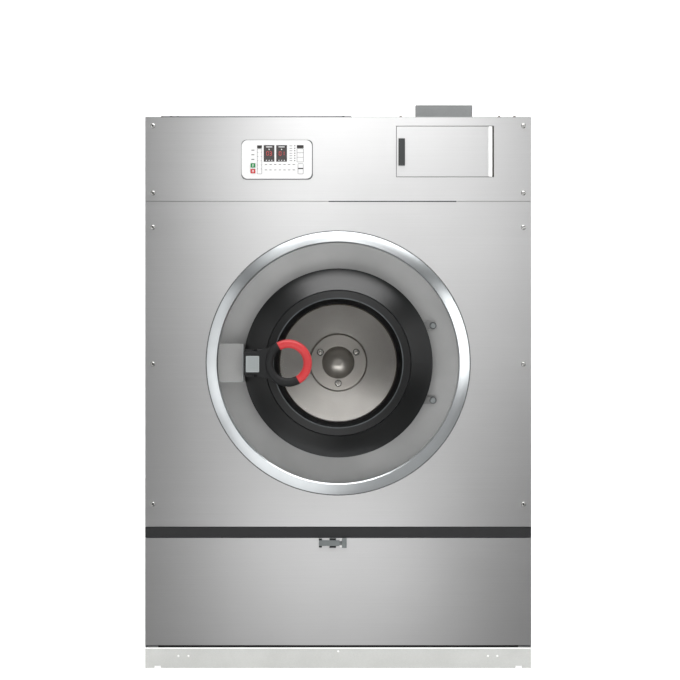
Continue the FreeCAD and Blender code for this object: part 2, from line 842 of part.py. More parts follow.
def build_rear():
    """Rear panel with its drive cover, and the connections that pass through it."""
    cover_x = (-dim.cover_half_width, dim.cover_half_width)
    cover_z = (dim.cover_bottom, dim.cover_bottom + dim.cover_height)
    cover = box(cover_x, (back, back + dim.cover_depth), cover_z)
    wall = dim.sheet
    hollow = box((cover_x[0] + wall, cover_x[1] - wall), (back - wall, back + dim.cover_depth - wall),
                 (cover_z[0] + wall, cover_z[1] - wall))
    keep("rear_cover", cut(cover, hollow))

    through = (back - dim.sheet * 2, back + dim.sheet)
    lap = dim.cover_overlap
    cuts = [box((cover_x[0] + lap, cover_x[1] - lap), through, (cover_z[0] + lap, cover_z[1] - lap)),
            rod("y", (dim.drain_x, dim.drain_height), through, dim.drain_spigot_radius + dim.seat_gap),
            rod("y", (gland_x, gland_z), through, dim.gland_bore)]
    valves = []
    pipes = []
    hopper_back = front + dim.sheet + dim.hopper_depth
    valve_front = back - dim.sheet - dim.inlet_body
    half = dim.inlet_body / 2
    for inlet_x in (inlet_left, inlet_left + dim.inlet_pitch):
        spot = (inlet_x, inlet_z)
        cuts.append(rod("y", spot, through, dim.inlet_radius + dim.seat_gap))
        body = box((inlet_x - half, inlet_x + half), (valve_front, back - dim.sheet),
                   (inlet_z - half, inlet_z + half))
        stub_front = back + dim.inlet_neck
        neck = rod("y", spot, (back - dim.sheet, stub_front), dim.inlet_neck_radius)
        stub = rod("y", spot, (stub_front, back + dim.inlet_stub), dim.inlet_radius)
        valves.append(join(body, neck, stub))
        pipes.append(rod("y", spot, (hopper_back, valve_front), dim.inlet_pipe_radius))
    panel = box((-half_width, half_width), (back - dim.sheet, back), (dim.base_height, under_top))
    keep("rear_panel", cut(panel, *cuts))
    keep("inlet_valves", group(*valves))

    gland_spot = (gland_x, gland_z)
    gland = rod("y", gland_spot, (back, back + dim.gland_length), dim.gland_radius)
    gland_bore = rod("y", gland_spot, (back - dim.sheet, back + dim.gland_length * 2), dim.gland_bore)
    keep("cable_gland", cut(gland, gland_bore))

    fill_x = dispenser_left + dim.dispenser_width / 2
    fill = rod("z", (fill_x, front + dim.fill_pipe_setback),
               (center_z, dispenser_z - dim.hopper_wall), dim.fill_pipe_radius)
    keep("water_pipes", group(*pipes, cut(fill, tub_space())))

    drain_y = tub_back - dim.drain_inset
    valve_top = dim.drain_height + dim.valve_half_height
    valve = box((dim.drain_x - dim.valve_half, dim.drain_x + dim.valve_half),
                (drain_y - dim.valve_half, drain_y + dim.valve_half),
                (dim.drain_height - dim.valve_half_height, valve_top))
    sump = rod("z", (dim.drain_x, drain_y), (valve_top, center_z), dim.drain_radius)
    side = dim.drain_x + dim.valve_half
    actuator = rod("x", (drain_y, dim.drain_height), (side, side + dim.actuator_length),
                   dim.actuator_radius)
    keep("drain_valve", cut(join(valve, sump, actuator), tub_space()))
    pipe_spot = (dim.drain_x, dim.drain_height)
    spigot_front = back + dim.drain_neck
    pipe = rod("y", pipe_spot, (drain_y + dim.valve_half, spigot_front), dim.drain_radius)
    spigot = rod("y", pipe_spot, (spigot_front, back + dim.drain_stub), dim.drain_spigot_radius)
    keep("drain_pipe", join(pipe, spigot))


def build_controls():
    """Keypad plate with its displays and two keys, and the box behind it."""
    left = keypad_left
    bottom = control_bottom + dim.keypad_bottom
    face = front - dim.keypad_thickness
    windows = []
    for number in range(2):
        start = left + dim.display_left + dim.display_pitch * number
        windows.append(((start, start + dim.display_width),
                        (bottom + dim.display_bottom, bottom + dim.display_bottom + dim.display_height)))
    keys = {}
    key_x = (left + dim.key_left, left + dim.key_left + dim.key_width)
    for name, step in (("stop_button", 0), ("start_button", 1)):
        low = bottom + dim.stop_key_bottom + dim.key_pitch * step
        keys[name] = (key_x, (low, low + dim.key_height))
    body = new_body()
    outline = rectangle((left, left + dim.keypad_width), (bottom, bottom + dim.keypad_height))
    blank = plate_in(body, outline, (face, front))
    round_edges(body, blank, runs_deep, dim.keypad_corner)
    through = (face - dim.keypad_thickness, front + dim.keypad_thickness)
    cuts = [box(x, through, z) for x, z in windows]
    gap = dim.key_gap
    for x, z in keys.values():
        cuts.append(box((x[0] - gap, x[1] + gap), through, (z[0] - gap, z[1] + gap)))
    keep("keypad_plate", cut(body, *cuts))
    keep("display_windows", group(*[box(x, (face + dim.display_recess, front), z) for x, z in windows]))
    for name, (x, z) in keys.items():
        keep(name, box(x, (face - dim.key_proud, front - dim.key_travel - dim.key_rest), z))
    margin = dim.control_box_margin
    over = dim.control_box_overhang
    keep("control_box", box((left - over, left + dim.keypad_width + over),
                            (front + dim.sheet, front + dim.sheet + dim.control_box_depth),
                            (control_bottom + margin, under_top - margin)))


def build_dispenser():
    """Soap hopper behind the control panel, with its flush door, pull and piano hinge."""
    wall = dim.hopper_wall
    inner_x = (dispenser_left, dispenser_right)
    inner_z = (dispenser_z, dispenser_z + dim.dispenser_height)
    start = front + dim.sheet
    stop = start + dim.hopper_depth
    outer = box((inner_x[0] - wall, inner_x[1] + wall), (start, stop),
                (inner_z[0] - wall, inner_z[1] + wall))
    hollow = box(inner_x, (front, stop - wall), inner_z)
    keep("dispenser_hopper", cut(outer, hollow))

    gap = dim.dispenser_gap
    barrel = dim.hinge_barrel_radius
    axis_x = inner_x[1] - barrel - dim.run_gap
    door_right = axis_x - barrel - dim.run_gap
    door_z = (inner_z[0] + gap, inner_z[1] - gap)
    keep("dispenser_door", box((inner_x[0] + gap, door_right),
                               (front, front + dim.dispenser_thickness), door_z))

    pull_left = inner_x[0] + dim.pull_inset
    pull_right = pull_left + dim.pull_width
    pull_low = inner_z[0] + dim.pull_bottom
    pull_high = pull_low + dim.pull_height
    pull = box((pull_left, pull_right), (front - dim.pull_thickness, front), (pull_low, pull_high))
    lip = dim.pull_hollow
    finger = box((pull_left + lip, pull_right + lip),
                 (front - dim.pull_thickness + lip / 2, front - lip / 2),
                 (pull_low + lip, pull_high - lip))
    keep("dispenser_pull", cut(pull, finger))

    knuckle = dim.hinge_knuckle_length
    moving = (door_z[0] + knuckle + dim.run_gap, door_z[1] - knuckle - dim.run_gap)
    spot = (axis_x, front)
    leaf_y = (front - dim.hinge_leaf_thickness, front)
    leaf = box((door_right - dim.hinge_leaf_width, door_right), leaf_y, door_z)
    tongue = box((door_right - dim.hinge_leaf_thickness, axis_x), leaf_y, moving)
    tube = rod("z", spot, moving, barrel)
    wire_hole = rod("z", spot, (inner_z[0], inner_z[1]), dim.hinge_wire_radius + dim.shaft_fit)
    keep("dispenser_leaf", cut(join(leaf, tongue, tube), wire_hole))

    wire = rod("z", spot, door_z, dim.hinge_wire_radius)
    fixed = [wire]
    for low, high in ((door_z[0], door_z[0] + knuckle), (door_z[1] - knuckle, door_z[1])):
        fixed.append(rod("z", spot, (low, high), barrel))
        fixed.append(box((axis_x, inner_x[1]), (front, front + barrel), (low, high)))
    keep("dispenser_hinge", join(*fixed))


def build_tub():
    """Fixed tub with its front plate and neck, and the bearing housing on its back."""
    neck_outer = dim.neck_radius + dim.neck_wall
    flange = tub_radius + dim.tub_flange
    keep("tub_front", ring([
        (dim.neck_radius, neck_front), (neck_outer, neck_front), (neck_outer, recess),
        (flange, recess), (flange, tub_front_back), (dim.neck_radius, tub_front_back)]))

    inner = tub_radius - dim.tub_wall
    flange_back = tub_front_back + dim.tub_flange
    keep("outer_tub", ring([
        (inner, tub_front_back), (flange, tub_front_back), (flange, flange_back),
        (tub_radius, flange_back), (tub_radius, tub_back), (dim.bearing_radius, tub_back),
        (dim.bearing_radius, tub_back - dim.tub_plate), (inner, tub_back - dim.tub_plate)]))

    body = new_body(0, center_z)
    flange_end = tub_back + dim.housing_flange
    turn_in(body, [
        (dim.bearing_radius, tub_back), (dim.housing_flange_radius, tub_back),
        (dim.housing_flange_radius, flange_end), (dim.housing_root_radius, flange_end),
        (dim.housing_tip_radius, housing_back), (dim.bearing_radius, housing_back)])
    sketch = sketch_on(body, "XY_Plane")
    inside = (dim.bearing_radius + dim.housing_tip_radius) / 2
    draw(sketch, [(inside, tub_back), (dim.housing_flange_radius, tub_back),
                  (dim.housing_flange_radius, flange_end), (dim.housing_tip_radius, housing_back),
                  (inside, housing_back)])
    rib = body.newObject("PartDesign::Pad", "rib")
    rib.Profile = sketch
    rib.Midplane = True
    rib.setExpression("Length", dim.housing_rib.text)
    repeat(body, rib, (sketch, ["V_Axis"]), dim.housing_ribs)
    keep("bearing_housing", body)

    rings = []
    bore = dim.shaft_radius + dim.shaft_fit
    for start in (tub_back, housing_back - dim.bearing_width):
        stop = start + dim.bearing_width
        outer = dim.bearing_radius - dim.shaft_fit
        rings.append(ring([(bore, start), (outer, start), (outer, stop), (bore, stop)]))
    keep("bearings", group(*rings))


def build_drum():
    """Drum with its lifters, spider and shaft, hub cap and pulley."""
    wall = dim.drum_wall
    lip = dim.mouth_radius + wall
    inside = drum_radius - wall
    keep("drum", ring([
        (dim.mouth_radius, drum_front - dim.mouth_lip), (lip, drum_front - dim.mouth_lip),
        (lip, drum_front), (drum_radius, drum_front), (drum_radius, drum_back),
        (dim.shaft_radius, drum_back),
        (dim.shaft_radius, drum_floor), (inside, drum_floor), (inside, drum_front + wall),
        (dim.mouth_radius, drum_front + wall)]))

    lifters = []
    seat = inside - dim.seat_gap
    base_z = root(seat * seat - dim.lifter_half_base * dim.lifter_half_base)
    top_z = inside - dim.lifter_height
    spin = 360 / SIZES["lifter_count"]
    for number in range(SIZES["lifter_count"]):
        body = plate([
            (-dim.lifter_half_base, -base_z, bend(seat, -1)), (dim.lifter_half_base, -base_z),
            (dim.lifter_half_top, -top_z, bend(dim.lifter_nose_radius, -1)),
            (-dim.lifter_half_top, -top_z)],
            (drum_front + wall + dim.lifter_margin, drum_floor - dim.lifter_margin))
        place(body, 0, 0, center_z, FreeCAD.Rotation(FreeCAD.Vector(0, 1, 0), spin * number))
        lifters.append(body)
    keep("drum_lifters", group(*lifters))

    body = new_body(0, center_z)
    spider_back = drum_back + dim.spider_thickness
    spider_reach = drum_radius - dim.spider_margin
    turn_in(body, [
        (0, drum_back), (dim.spider_hub_radius, drum_back), (dim.spider_hub_radius, spider_back),
        (dim.shaft_radius, spider_back), (dim.shaft_radius, pulley_back), (0, pulley_back)])
    sketch = sketch_on(body, "XZ_Plane", -spider_back)
    draw(sketch, [(-dim.spider_root_half, 0), (dim.spider_root_half, 0),
                  (dim.spider_tip_half, spider_reach, bend(dim.spider_tip_radius, -1)),
                  (-dim.spider_tip_half, spider_reach)])
    arm = body.newObject("PartDesign::Pad", "arm")
    arm.Profile = sketch
    arm.setExpression("Length", dim.spider_thickness.text)
    repeat(body, arm, (sketch, ["N_Axis"]), dim.spider_arms)
    keep("drum_spider", body)

    cap_face = drum_floor - dim.hub_cap_thickness
    dome_ball = ball(dim.hub_dome_radius - dim.hub_dome_flat, dim.hub_dome_height)
    dome_top = cap_face - dim.hub_dome_height
    rim = dim.hub_cap_radius - dim.hub_cap_bevel
    keep("hub_cap", ring([
        (0, drum_floor), (0, dome_top), (dim.hub_dome_flat, dome_top, bend(dome_ball, -1)),
        (dim.hub_dome_radius, cap_face), (rim, cap_face),
        (dim.hub_cap_radius, cap_face + dim.hub_cap_bevel), (dim.hub_cap_radius, drum_floor)]))

    body = new_body(0, center_z)
    bore = dim.shaft_radius + dim.shaft_fit
    rim = dim.pulley_radius - dim.pulley_rim
    flange = dim.pulley_radius + dim.pulley_flange
    web_front = (pulley_front + pulley_back - dim.pulley_web) / 2
    web_back = web_front + dim.pulley_web
    tread = (pulley_front + dim.pulley_flange_width, pulley_back - dim.pulley_flange_width)
    turned = turn_in(body, [
        (bore, pulley_front), (dim.pulley_hub_radius, pulley_front), (dim.pulley_hub_radius, web_front),
        (rim, web_front), (rim, pulley_front), (flange, pulley_front), (flange, tread[0]),
        (dim.pulley_radius, tread[0]), (dim.pulley_radius, tread[1]), (flange, tread[1]),
        (flange, pulley_back), (rim, pulley_back), (rim, web_back), (dim.pulley_hub_radius, web_back),
        (dim.pulley_hub_radius, pulley_back), (bore, pulley_back)])
    doc.recompute()
    whole = turned.Shape.Volume
    sketch = sketch_on(body, "XZ_Plane", -web_back)
    draw_circle(sketch, as_size(0), (rim + dim.pulley_hub_radius) / 2, dim.pulley_hole_radius)
    hole = body.newObject("PartDesign::Pocket", "hole")
    hole.Profile = sketch
    hole.Midplane = True
    hole.setExpression("Length", (dim.pulley_web * 3).text)
    repeat(body, hole, (sketch, ["N_Axis"]), dim.pulley_holes)
    doc.recompute()
    if body.Shape.Volume >= whole:
        raise RuntimeError("the pulley's lightening holes cut nothing")
    keep("drum_pulley", body)


def belt_loop(sketch, radii):
    """Closed belt line round the drum pulley and the motor pulley."""
    centers = [(as_size(0), center_z), (dim.motor_x, dim.motor_height)]
    spots = [FreeCAD.Vector(x.value, z.value, 0) for x, z in centers]
    along = spots[1] - spots[0]
    lean = math.acos((radii[0].value - radii[1].value) / along.Length)
    heading = math.atan2(along.y, along.x)
    touch = (heading + lean, heading - lean + 2 * math.pi)
    sweeps = (touch, (touch[1], touch[0] + 2 * math.pi))
    first = sketch.GeometryCount
    upward = FreeCAD.Vector(0, 0, 1)
    for spot, radius, sweep in zip(spots, radii, sweeps):
        sketch.addGeometry(Part.ArcOfCircle(Part.Circle(spot, upward, radius.value), *sweep), False)
    arcs = [sketch.Geometry[first], sketch.Geometry[first + 1]]
    sketch.addGeometry(Part.LineSegment(arcs[0].EndPoint, arcs[1].StartPoint), False)
    sketch.addGeometry(Part.LineSegment(arcs[1].EndPoint, arcs[0].StartPoint), False)
    for number, ((x, z), radius) in enumerate(zip(centers, radii), start=first):
        for kind, size in (("DistanceX", x), ("DistanceY", z)):
            index = sketch.addConstraint(Sketcher.Constraint(kind, -1, 1, number, 3, size.value))
            sketch.setExpression(f"Constraints[{index}]", size.text)
        index = sketch.addConstraint(Sketcher.Constraint("Radius", number, radius.value))
        sketch.setExpression(f"Constraints[{index}]", radius.text)
    for arc, end, line, start in ((0, 2, 2, 1), (1, 1, 2, 2), (1, 2, 3, 1), (0, 1, 3, 2)):
        sketch.addConstraint(Sketcher.Constraint("Tangent", first + arc, end, first + line, start))


def build_drive():
    """Motor on its bracket, motor pulley and belt."""
    motor_back = pulley_front - dim.motor_gap
    motor_front = motor_back - dim.motor_length
    spot = (dim.motor_x, dim.motor_height)
    bracket_bottom = dim.base_height + dim.beam_height
    bracket_top = bracket_bottom + dim.bracket_thickness
    half = dim.motor_foot_half
    margin = dim.motor_foot_margin
    foot = box((dim.motor_x - half, dim.motor_x + half), (motor_front + margin, motor_back - margin),
               (bracket_top, dim.motor_height - dim.motor_radius / 2))
    can = rod("y", spot, (motor_front, motor_back), dim.motor_radius)
    terminal_left = dim.motor_x - dim.motor_radius - dim.terminal_height
    half = dim.terminal_half
    terminal = box((terminal_left, dim.motor_x), (motor_front + margin, motor_back - margin),
                   (dim.motor_height - half, dim.motor_height + half))
    bore = rod("y", spot, (motor_back - dim.motor_shaft_seat - dim.shaft_fit, pulley_back),
               dim.motor_shaft_radius + dim.shaft_fit)
    keep("motor", cut(join(can, foot, terminal), bore))
    half = dim.bracket_half
    saddle_back = rear_beam + dim.saddle_thickness / 2
    beam_back = motor_beam + dim.beam_depth / 2
    keep("motor_bracket", box((dim.motor_x - half, dim.motor_x + half), (saddle_back, beam_back),
                              (bracket_bottom, bracket_top)))

    tread = (pulley_front + dim.pulley_flange_width, pulley_back - dim.pulley_flange_width)
    flange = dim.motor_pulley_radius + dim.pulley_flange
    shaft_end = motor_back - dim.motor_shaft_seat
    body = ring([
        (0, shaft_end), (dim.motor_shaft_radius, shaft_end), (dim.motor_shaft_radius, pulley_front),
        (flange, pulley_front), (flange, tread[0]), (dim.motor_pulley_radius, tread[0]),
        (dim.motor_pulley_radius, tread[1]), (flange, tread[1]), (flange, pulley_back), (0, pulley_back)],
        dim.motor_x, dim.motor_height)
    keep("motor_pulley", body)

    gap = dim.belt_clearance
    belt = (tread[0] + gap, tread[1] - gap)
    body = new_body()
    sketch = sketch_on(body, "XZ_Plane", -belt[1])
    for lift in (gap + dim.belt_thickness, gap):
        belt_loop(sketch, (dim.pulley_radius + lift, dim.motor_pulley_radius + lift))
    pad = body.newObject("PartDesign::Pad", "belt")
    pad.Profile = sketch
    pad.setExpression("Length", (belt[1] - belt[0]).text)
    keep("drive_belt", body)


def build_door():
    """Trim ring, and the door with its cover ring, frame, glass and seal."""
    crest = front - dim.trim_proud
    throat_back = recess - dim.run_gap
    wall = dim.trim_inner + dim.trim_wall
    keep("trim_ring", ring([
        (dim.trim_inner, throat_back), (wall, throat_back), (wall, front), (dim.trim_outer, front),
        (dim.trim_outer, front - dim.trim_edge, bend(dim.trim_bulge, 1)), (dim.trim_crest, crest),
        (dim.trim_inner, crest + dim.trim_nose)]))

    shell = dim.door_shell
    foot_front = frame_front - dim.door_foot
    foot_edge = dim.glass_radius + dim.door_foot_width
    inner_wall = dim.door_sight_radius + shell * 2
    groove_y = door_face + dim.door_groove_depth
    keep("door_ring", ring([
        (dim.door_radius, door_back), (dim.door_radius, cone_back), (cone_front_radius, cone_front),
        (dim.door_step_radius, door_face + dim.door_step), (dim.door_lip_radius, door_face),
        (dim.door_groove_radius, groove_y), (dim.door_sight_radius, foot_front),
        (dim.door_sight_radius, glass_front), (dim.glass_radius, glass_front),
        (dim.glass_radius, frame_front), (foot_edge, frame_front), (foot_edge, foot_front),
        (inner_wall, foot_front), (inner_wall, groove_y),
        (dim.door_lip_radius + shell, door_face + shell),
        (dim.door_step_radius - shell, door_face + shell * 2),
        (cone_front_radius - shell, cone_front + shell / 2), (dim.door_radius - shell, door_back)]))

    rebate = dim.glass_radius + dim.glass_fit
    lip = dim.door_sight_radius - dim.glass_fit
    keep("door_frame", ring([
        (rebate, frame_front), (dim.frame_radius, frame_front), (dim.frame_radius, door_back),
        (lip, door_back), (lip, glass_back), (rebate, glass_back)]))

    sight = dim.door_sight_radius - dim.glass_fit * 2
    dome_ball = ball(sight - dim.glass_flat, dim.glass_dome)
    keep("door_glass", ring([
        (0, glass_front + dim.glass_dome),
        (dim.glass_flat, glass_front + dim.glass_dome, bend(dome_ball, 1)),
        (sight, glass_front), (dim.glass_radius, glass_front), (dim.glass_radius, glass_back),
        (sight, glass_back, bend(dome_ball, -1)), (dim.glass_flat, glass_back + dim.glass_dome),
        (0, glass_back + dim.glass_dome)]))

    seal_inner = dim.seal_radius - dim.seal_width
    seal_back = neck_front - dim.seal_squeeze_gap
    keep("door_seal", ring([
        (seal_inner, door_back), (dim.seal_radius, door_back), (dim.seal_radius, seal_back),
        (seal_inner, seal_back)]))


def build_hinge():
    """Two lugs bolted to the tub front, the pin through them and the arm that hangs the door."""
    spot = (dim.hinge_x, hinge_y)
    lugs = []
    half = dim.lug_height / 2
    foot_front = recess - dim.lug_foot
    inner_end = dim.hinge_half - dim.lug_height
    strip_right = dim.lug_left + dim.lug_strip
    for side in (-1, 1):
        span = ordered(center_z + side * inner_end, center_z + side * dim.hinge_half)
        knuckle = rod("z", spot, span, dim.knuckle_radius)
        arm = box((dim.hinge_x - dim.lug_arm / 2, dim.hinge_x + dim.lug_arm / 2), (hinge_y, recess), span)
        strip = box((dim.lug_left, strip_right), (foot_front, recess),
                    ordered(center_z + side * inner_end, center_z + side * (dim.lug_center + half)))
        middle = center_z + side * dim.lug_center
        foot = box((dim.lug_left, dim.lug_bolt_x), (foot_front, recess), (middle - half, middle + half))
        eye = rod("y", (dim.lug_bolt_x, middle), (foot_front, recess), half)
        head = dome(dim.lug_bolt_x, foot_front, middle, dim.lug_bolt_radius, dim.lug_bolt_height,
                    TURNS["front"])
        bore = rod("z", spot, span, dim.hinge_pin_radius + dim.shaft_fit)
        lugs.append(cut(join(knuckle, arm, strip, foot, eye, head), bore))
    keep("hinge_lugs", group(*lugs))
    keep("hinge_pin", rod("z", spot, (center_z - dim.hinge_half, center_z + dim.hinge_half),
                          dim.hinge_pin_radius))

    reach = inner_end - dim.run_gap
    span = (center_z - reach, center_z + reach)
    knuckle = rod("z", spot, span, dim.knuckle_radius)
    heights = (center_z - dim.arm_half, center_z + dim.arm_half)
    strap = box((dim.arm_left, dim.arm_right), (door_back - dim.arm_thickness, door_back), heights)
    web = box((dim.arm_right - dim.arm_web, dim.arm_right), (door_back - dim.arm_thickness, hinge_y),
              heights)
    bore = rod("z", spot, span, dim.hinge_pin_radius + dim.shaft_fit)
    frame = rod("y", (as_size(0), center_z), (front, neck_front), dim.frame_radius + dim.seat_gap)
    keep("hinge_arm", cut(join(knuckle, strap, web), bore, frame))


def build_latch():
    """Lock box, latch base on the door, and the pull lever with its ring handle."""
    around = (as_size(0), center_z)
    lock = box((-dim.trim_inner, dim.lock_right), (front + dim.lock_setback, recess),
               (center_z - dim.lock_half_height, center_z + dim.lock_half_height))
    throat = rod("y", around, (front, recess), dim.trim_inner - dim.seat_gap)
    keep("lock_box", common(lock, throat))

    inner_half = dim.lever_half - dim.cheek
    base = box((dim.cheek_left, dim.latch_right), (front - dim.latch_face, door_back),
               (center_z - dim.lever_half, center_z + dim.lever_half))
    gap = dim.seat_gap
    seat = cone(around, (cone_front, cone_back), (cone_front_radius + gap, dim.door_radius + gap))
    rim = rod("y", around, (cone_back, door_back), dim.door_radius + gap)
    pieces = [base]
    for side in (-1, 1):
        ends = ordered(center_z + side * inner_half, center_z + side * dim.lever_half)
        pieces.append(box((dim.cheek_left, dim.cheek_right),
                          (front - dim.cheek_face, front - dim.latch_face), ends))
    spot = (dim.pivot_x, front - dim.pivot_standoff)
    span = (center_z - dim.lever_half, center_z + dim.lever_half)
    bore = rod("z", spot, span, dim.pivot_radius + dim.shaft_fit)
    keep("latch_base", cut(join(*pieces), seat, rim, bore))
    keep("handle_pin", rod("z", spot, span, dim.pivot_radius))

    between = inner_half - dim.run_gap
    tip = dim.handle_x - dim.lever_tip_back
    lower_side = [(dim.lever_left, -between), (dim.lever_shoulder, -between),
                  (dim.lever_shoulder, -dim.lever_half),
                  (dim.lever_face_end, -dim.lever_half), (dim.lever_neck_x, -dim.lever_neck_half),
                  (tip, -dim.lever_tip_half)]
    upper_side = [(x, -z) for x, z in reversed(lower_side)]
    lever_front = front - dim.lever_face
    body = new_body(0, center_z)
    pad = plate_in(body, lower_side + upper_side, (lever_front, front - dim.lever_back))
    edge_y = lever_front.value

    def on_face(edge):
        return edge.BoundBox.YMax < edge_y + 0.01

    round_edges(body, pad, on_face, dim.lever_edge)
    ring_face = front - dim.lever_ring_face
    slope = new_body(0, center_z)
    sketch = sketch_on(slope, "XY_Plane")
    ahead = lever_front - dim.lever_edge
    draw(sketch, [(dim.lever_face_end, ahead), (dim.handle_x, ahead), (dim.handle_x, ring_face),
                  (dim.lever_neck_x, ring_face), (dim.lever_face_end, lever_front)])
    wedge = slope.newObject("PartDesign::Pad", "wedge")
    wedge.Profile = sketch
    wedge.Midplane = True
    wedge.setExpression("Length", (dim.lever_tip_half * 3).text)
    ring_y = front - dim.handle_standoff
    hole = rod("y", (dim.handle_x, center_z), (front - dim.lever_face * 2, front), ring_wide)
    black = half_ring(ring_y, GRIP_START - HALF_TURN)
    bore = rod("z", spot, span, dim.pivot_radius + dim.shaft_fit)
    keep("handle", cut(join(cut(body, hole, slope), black), bore))
    keep("handle_grip", half_ring(ring_y, GRIP_START))


def half_ring(depth, start):
    """Half of the ring handle, from a start angle in degrees."""
    item = doc.addObject("Part::Torus", "half_ring")
    bind(item, Radius1=dim.handle_ring_radius, Radius2=dim.handle_tube)
    item.Angle3 = HALF_TURN
    turn = TURNS["y"].multiply(FreeCAD.Rotation(FreeCAD.Vector(0, 0, 1), start))
    place(item, dim.handle_x, depth, center_z, turn)
    return item


def build_lower_panel():
    """Access panel that tilts out on two pins, with its latch."""
    depth = dim.panel_return - dim.lower_panel_relief
    sheet_pan = pan((lower_bottom, lower_top), depth, floor=False)
    spot = (front + dim.tilt_setback, lower_bottom + dim.tilt_rise)
    inner = half_width - dim.sheet
    holes = []
    tabs = []
    for side in (-1, 1):
        tab_out = inner - dim.tilt_tab_gap
        ends = ordered(side * tab_out, side * (tab_out - dim.tilt_tab))
        tab = box(ends, (spot[0] - dim.tilt_tab_front, post_front),
                  (spot[1] - dim.tilt_tab_low, spot[1] + dim.tilt_tab_high))
        reach = ordered(side * tab_out, side * half_width)
        tabs.append(join(tab, rod("x", spot, reach, dim.tilt_pin_radius)))
        edge = ordered(side * (inner - dim.sheet), side * (half_width + dim.sheet))
        holes.append(rod("x", spot, edge, dim.tilt_pin_radius + dim.shaft_fit))
    keep("lower_panel", cut(sheet_pan, *holes))
    keep("panel_pivots", group(*tabs))

    plate_top = lower_top - dim.latch_plate_drop
    heights = (plate_top - dim.latch_plate_height, plate_top)
    plate_face = front - dim.latch_plate_thickness
    middle = (heights[0] + heights[1]) / 2
    toggle_back = plate_face - dim.run_gap
    toggle_face = toggle_back - dim.toggle_thickness
    post = box((dim.latch_post_left, dim.latch_post_right), (plate_face, front), heights)
    spine = box((dim.latch_post_left, dim.latch_plate_right), (plate_face, front),
                (middle - dim.latch_spine_half, middle + dim.latch_spine_half))
    keeper = box((dim.keeper_left, dim.latch_plate_right), (plate_face - dim.keeper_proud, front), heights)
    spot = (dim.toggle_pivot, middle)
    pin = rod("y", spot, (toggle_face, plate_face), dim.toggle_pin_radius)
    keep("panel_latch", join(post, spine, keeper, pin))

    half = dim.toggle_half
    left = dim.toggle_left + half
    bar = box((left, dim.toggle_pivot), (toggle_face, toggle_back), (middle - half, middle + half))
    tip = rod("y", (left, middle), (toggle_face, toggle_back), half)
    eye = rod("y", spot, (toggle_face, toggle_back), half)
    bore = rod("y", spot, (toggle_face, toggle_back), dim.toggle_pin_radius + dim.shaft_fit)
    keep("latch_toggle", cut(join(bar, tip, eye), bore))


def main():
    """Build every piece, check it and write it."""
    build_base()
    build_cabinet()
    build_rear()
    build_controls()
    build_dispenser()
    build_tub()
    build_drum()
    build_drive()
    build_door()
    build_hinge()
    build_latch()
    build_lower_panel()
    doc.recompute()
    for item in doc.Objects:
        if "Invalid" in item.State or "Error" in item.State:
            raise RuntimeError(f"{item.Name} ({item.Label}) failed: {item.State}")
    for label, item in nodes.items():
        if item.Shape.isNull() or not item.Shape.isValid():
            raise RuntimeError(f"{label} has no valid shape")
    os.makedirs("parts", exist_ok=True)
    for label, item in nodes.items():
        item.Shape.exportStep(f"parts/{label}.step")
    print(len(nodes), "pieces written")


main()
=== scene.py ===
"""Looks of a front-loading washer-extractor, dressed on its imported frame.

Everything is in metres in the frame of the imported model: +X is to the right of someone facing the
machine, the front faces -Y, +Z is up, and the floor is at zero. Names that end in _mm are in millimetres.
"""

import logging
import math
from collections.abc import Callable, Iterable, Mapping, Sequence
from dataclasses import dataclass
from enum import Enum
from functools import cache, partial
from typing import Union

import bmesh
import bpy
from mathutils import Matrix, Vector


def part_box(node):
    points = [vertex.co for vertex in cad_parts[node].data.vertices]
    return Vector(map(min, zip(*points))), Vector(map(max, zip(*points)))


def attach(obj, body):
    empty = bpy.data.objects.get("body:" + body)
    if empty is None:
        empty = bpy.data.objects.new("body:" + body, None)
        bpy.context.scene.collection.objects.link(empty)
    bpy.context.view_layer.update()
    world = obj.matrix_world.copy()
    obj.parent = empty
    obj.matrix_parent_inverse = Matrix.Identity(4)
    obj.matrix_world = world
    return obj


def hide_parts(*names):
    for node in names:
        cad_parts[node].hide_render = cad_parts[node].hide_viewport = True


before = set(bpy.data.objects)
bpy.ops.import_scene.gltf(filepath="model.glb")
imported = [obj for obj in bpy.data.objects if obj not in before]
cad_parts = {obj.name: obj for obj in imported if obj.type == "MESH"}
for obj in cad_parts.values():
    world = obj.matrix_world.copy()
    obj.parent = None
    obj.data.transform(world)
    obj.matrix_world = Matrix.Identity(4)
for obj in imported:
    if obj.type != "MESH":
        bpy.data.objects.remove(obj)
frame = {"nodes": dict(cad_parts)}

LOG = logging.getLogger("washer")
MM = 0.001
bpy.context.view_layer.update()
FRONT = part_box("front_panel")[0].y
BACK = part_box("rear_panel")[1].y
AXIS_Z = (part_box("drum")[0].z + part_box("drum")[1].z) / 2

# A quarter turn from the marks to the way in which a highlight is drawn out.
ACROSS_MARKS = 0.25
# Points that are closer than this are one point.
WELD = 1e-6
# Edges that bend by more than this stay crisp.
CRISP = math.radians(32)

Span = tuple[float, float]
Spot = tuple[float, float, float]
Bounds = tuple[float, float, float, float]
Colour = tuple[float, float, float, float]
Tree = bpy.types.NodeTree
Node = bpy.types.Node
Socket = bpy.types.NodeSocket
Feed = Union[Node, Socket]
Adder = Callable[..., Node]


class Toward(Enum):
    """Way that a small fitting faces."""

    FRONT = (0.0, -1.0, 0.0)
    BACK = (0.0, 1.0, 0.0)
    RIGHT = (1.0, 0.0, 0.0)
    UP = (0.0, 0.0, 1.0)


class Axis(Enum):
    """Axis along which a finish gives way to another."""

    X = "X"
    Y = "Y"


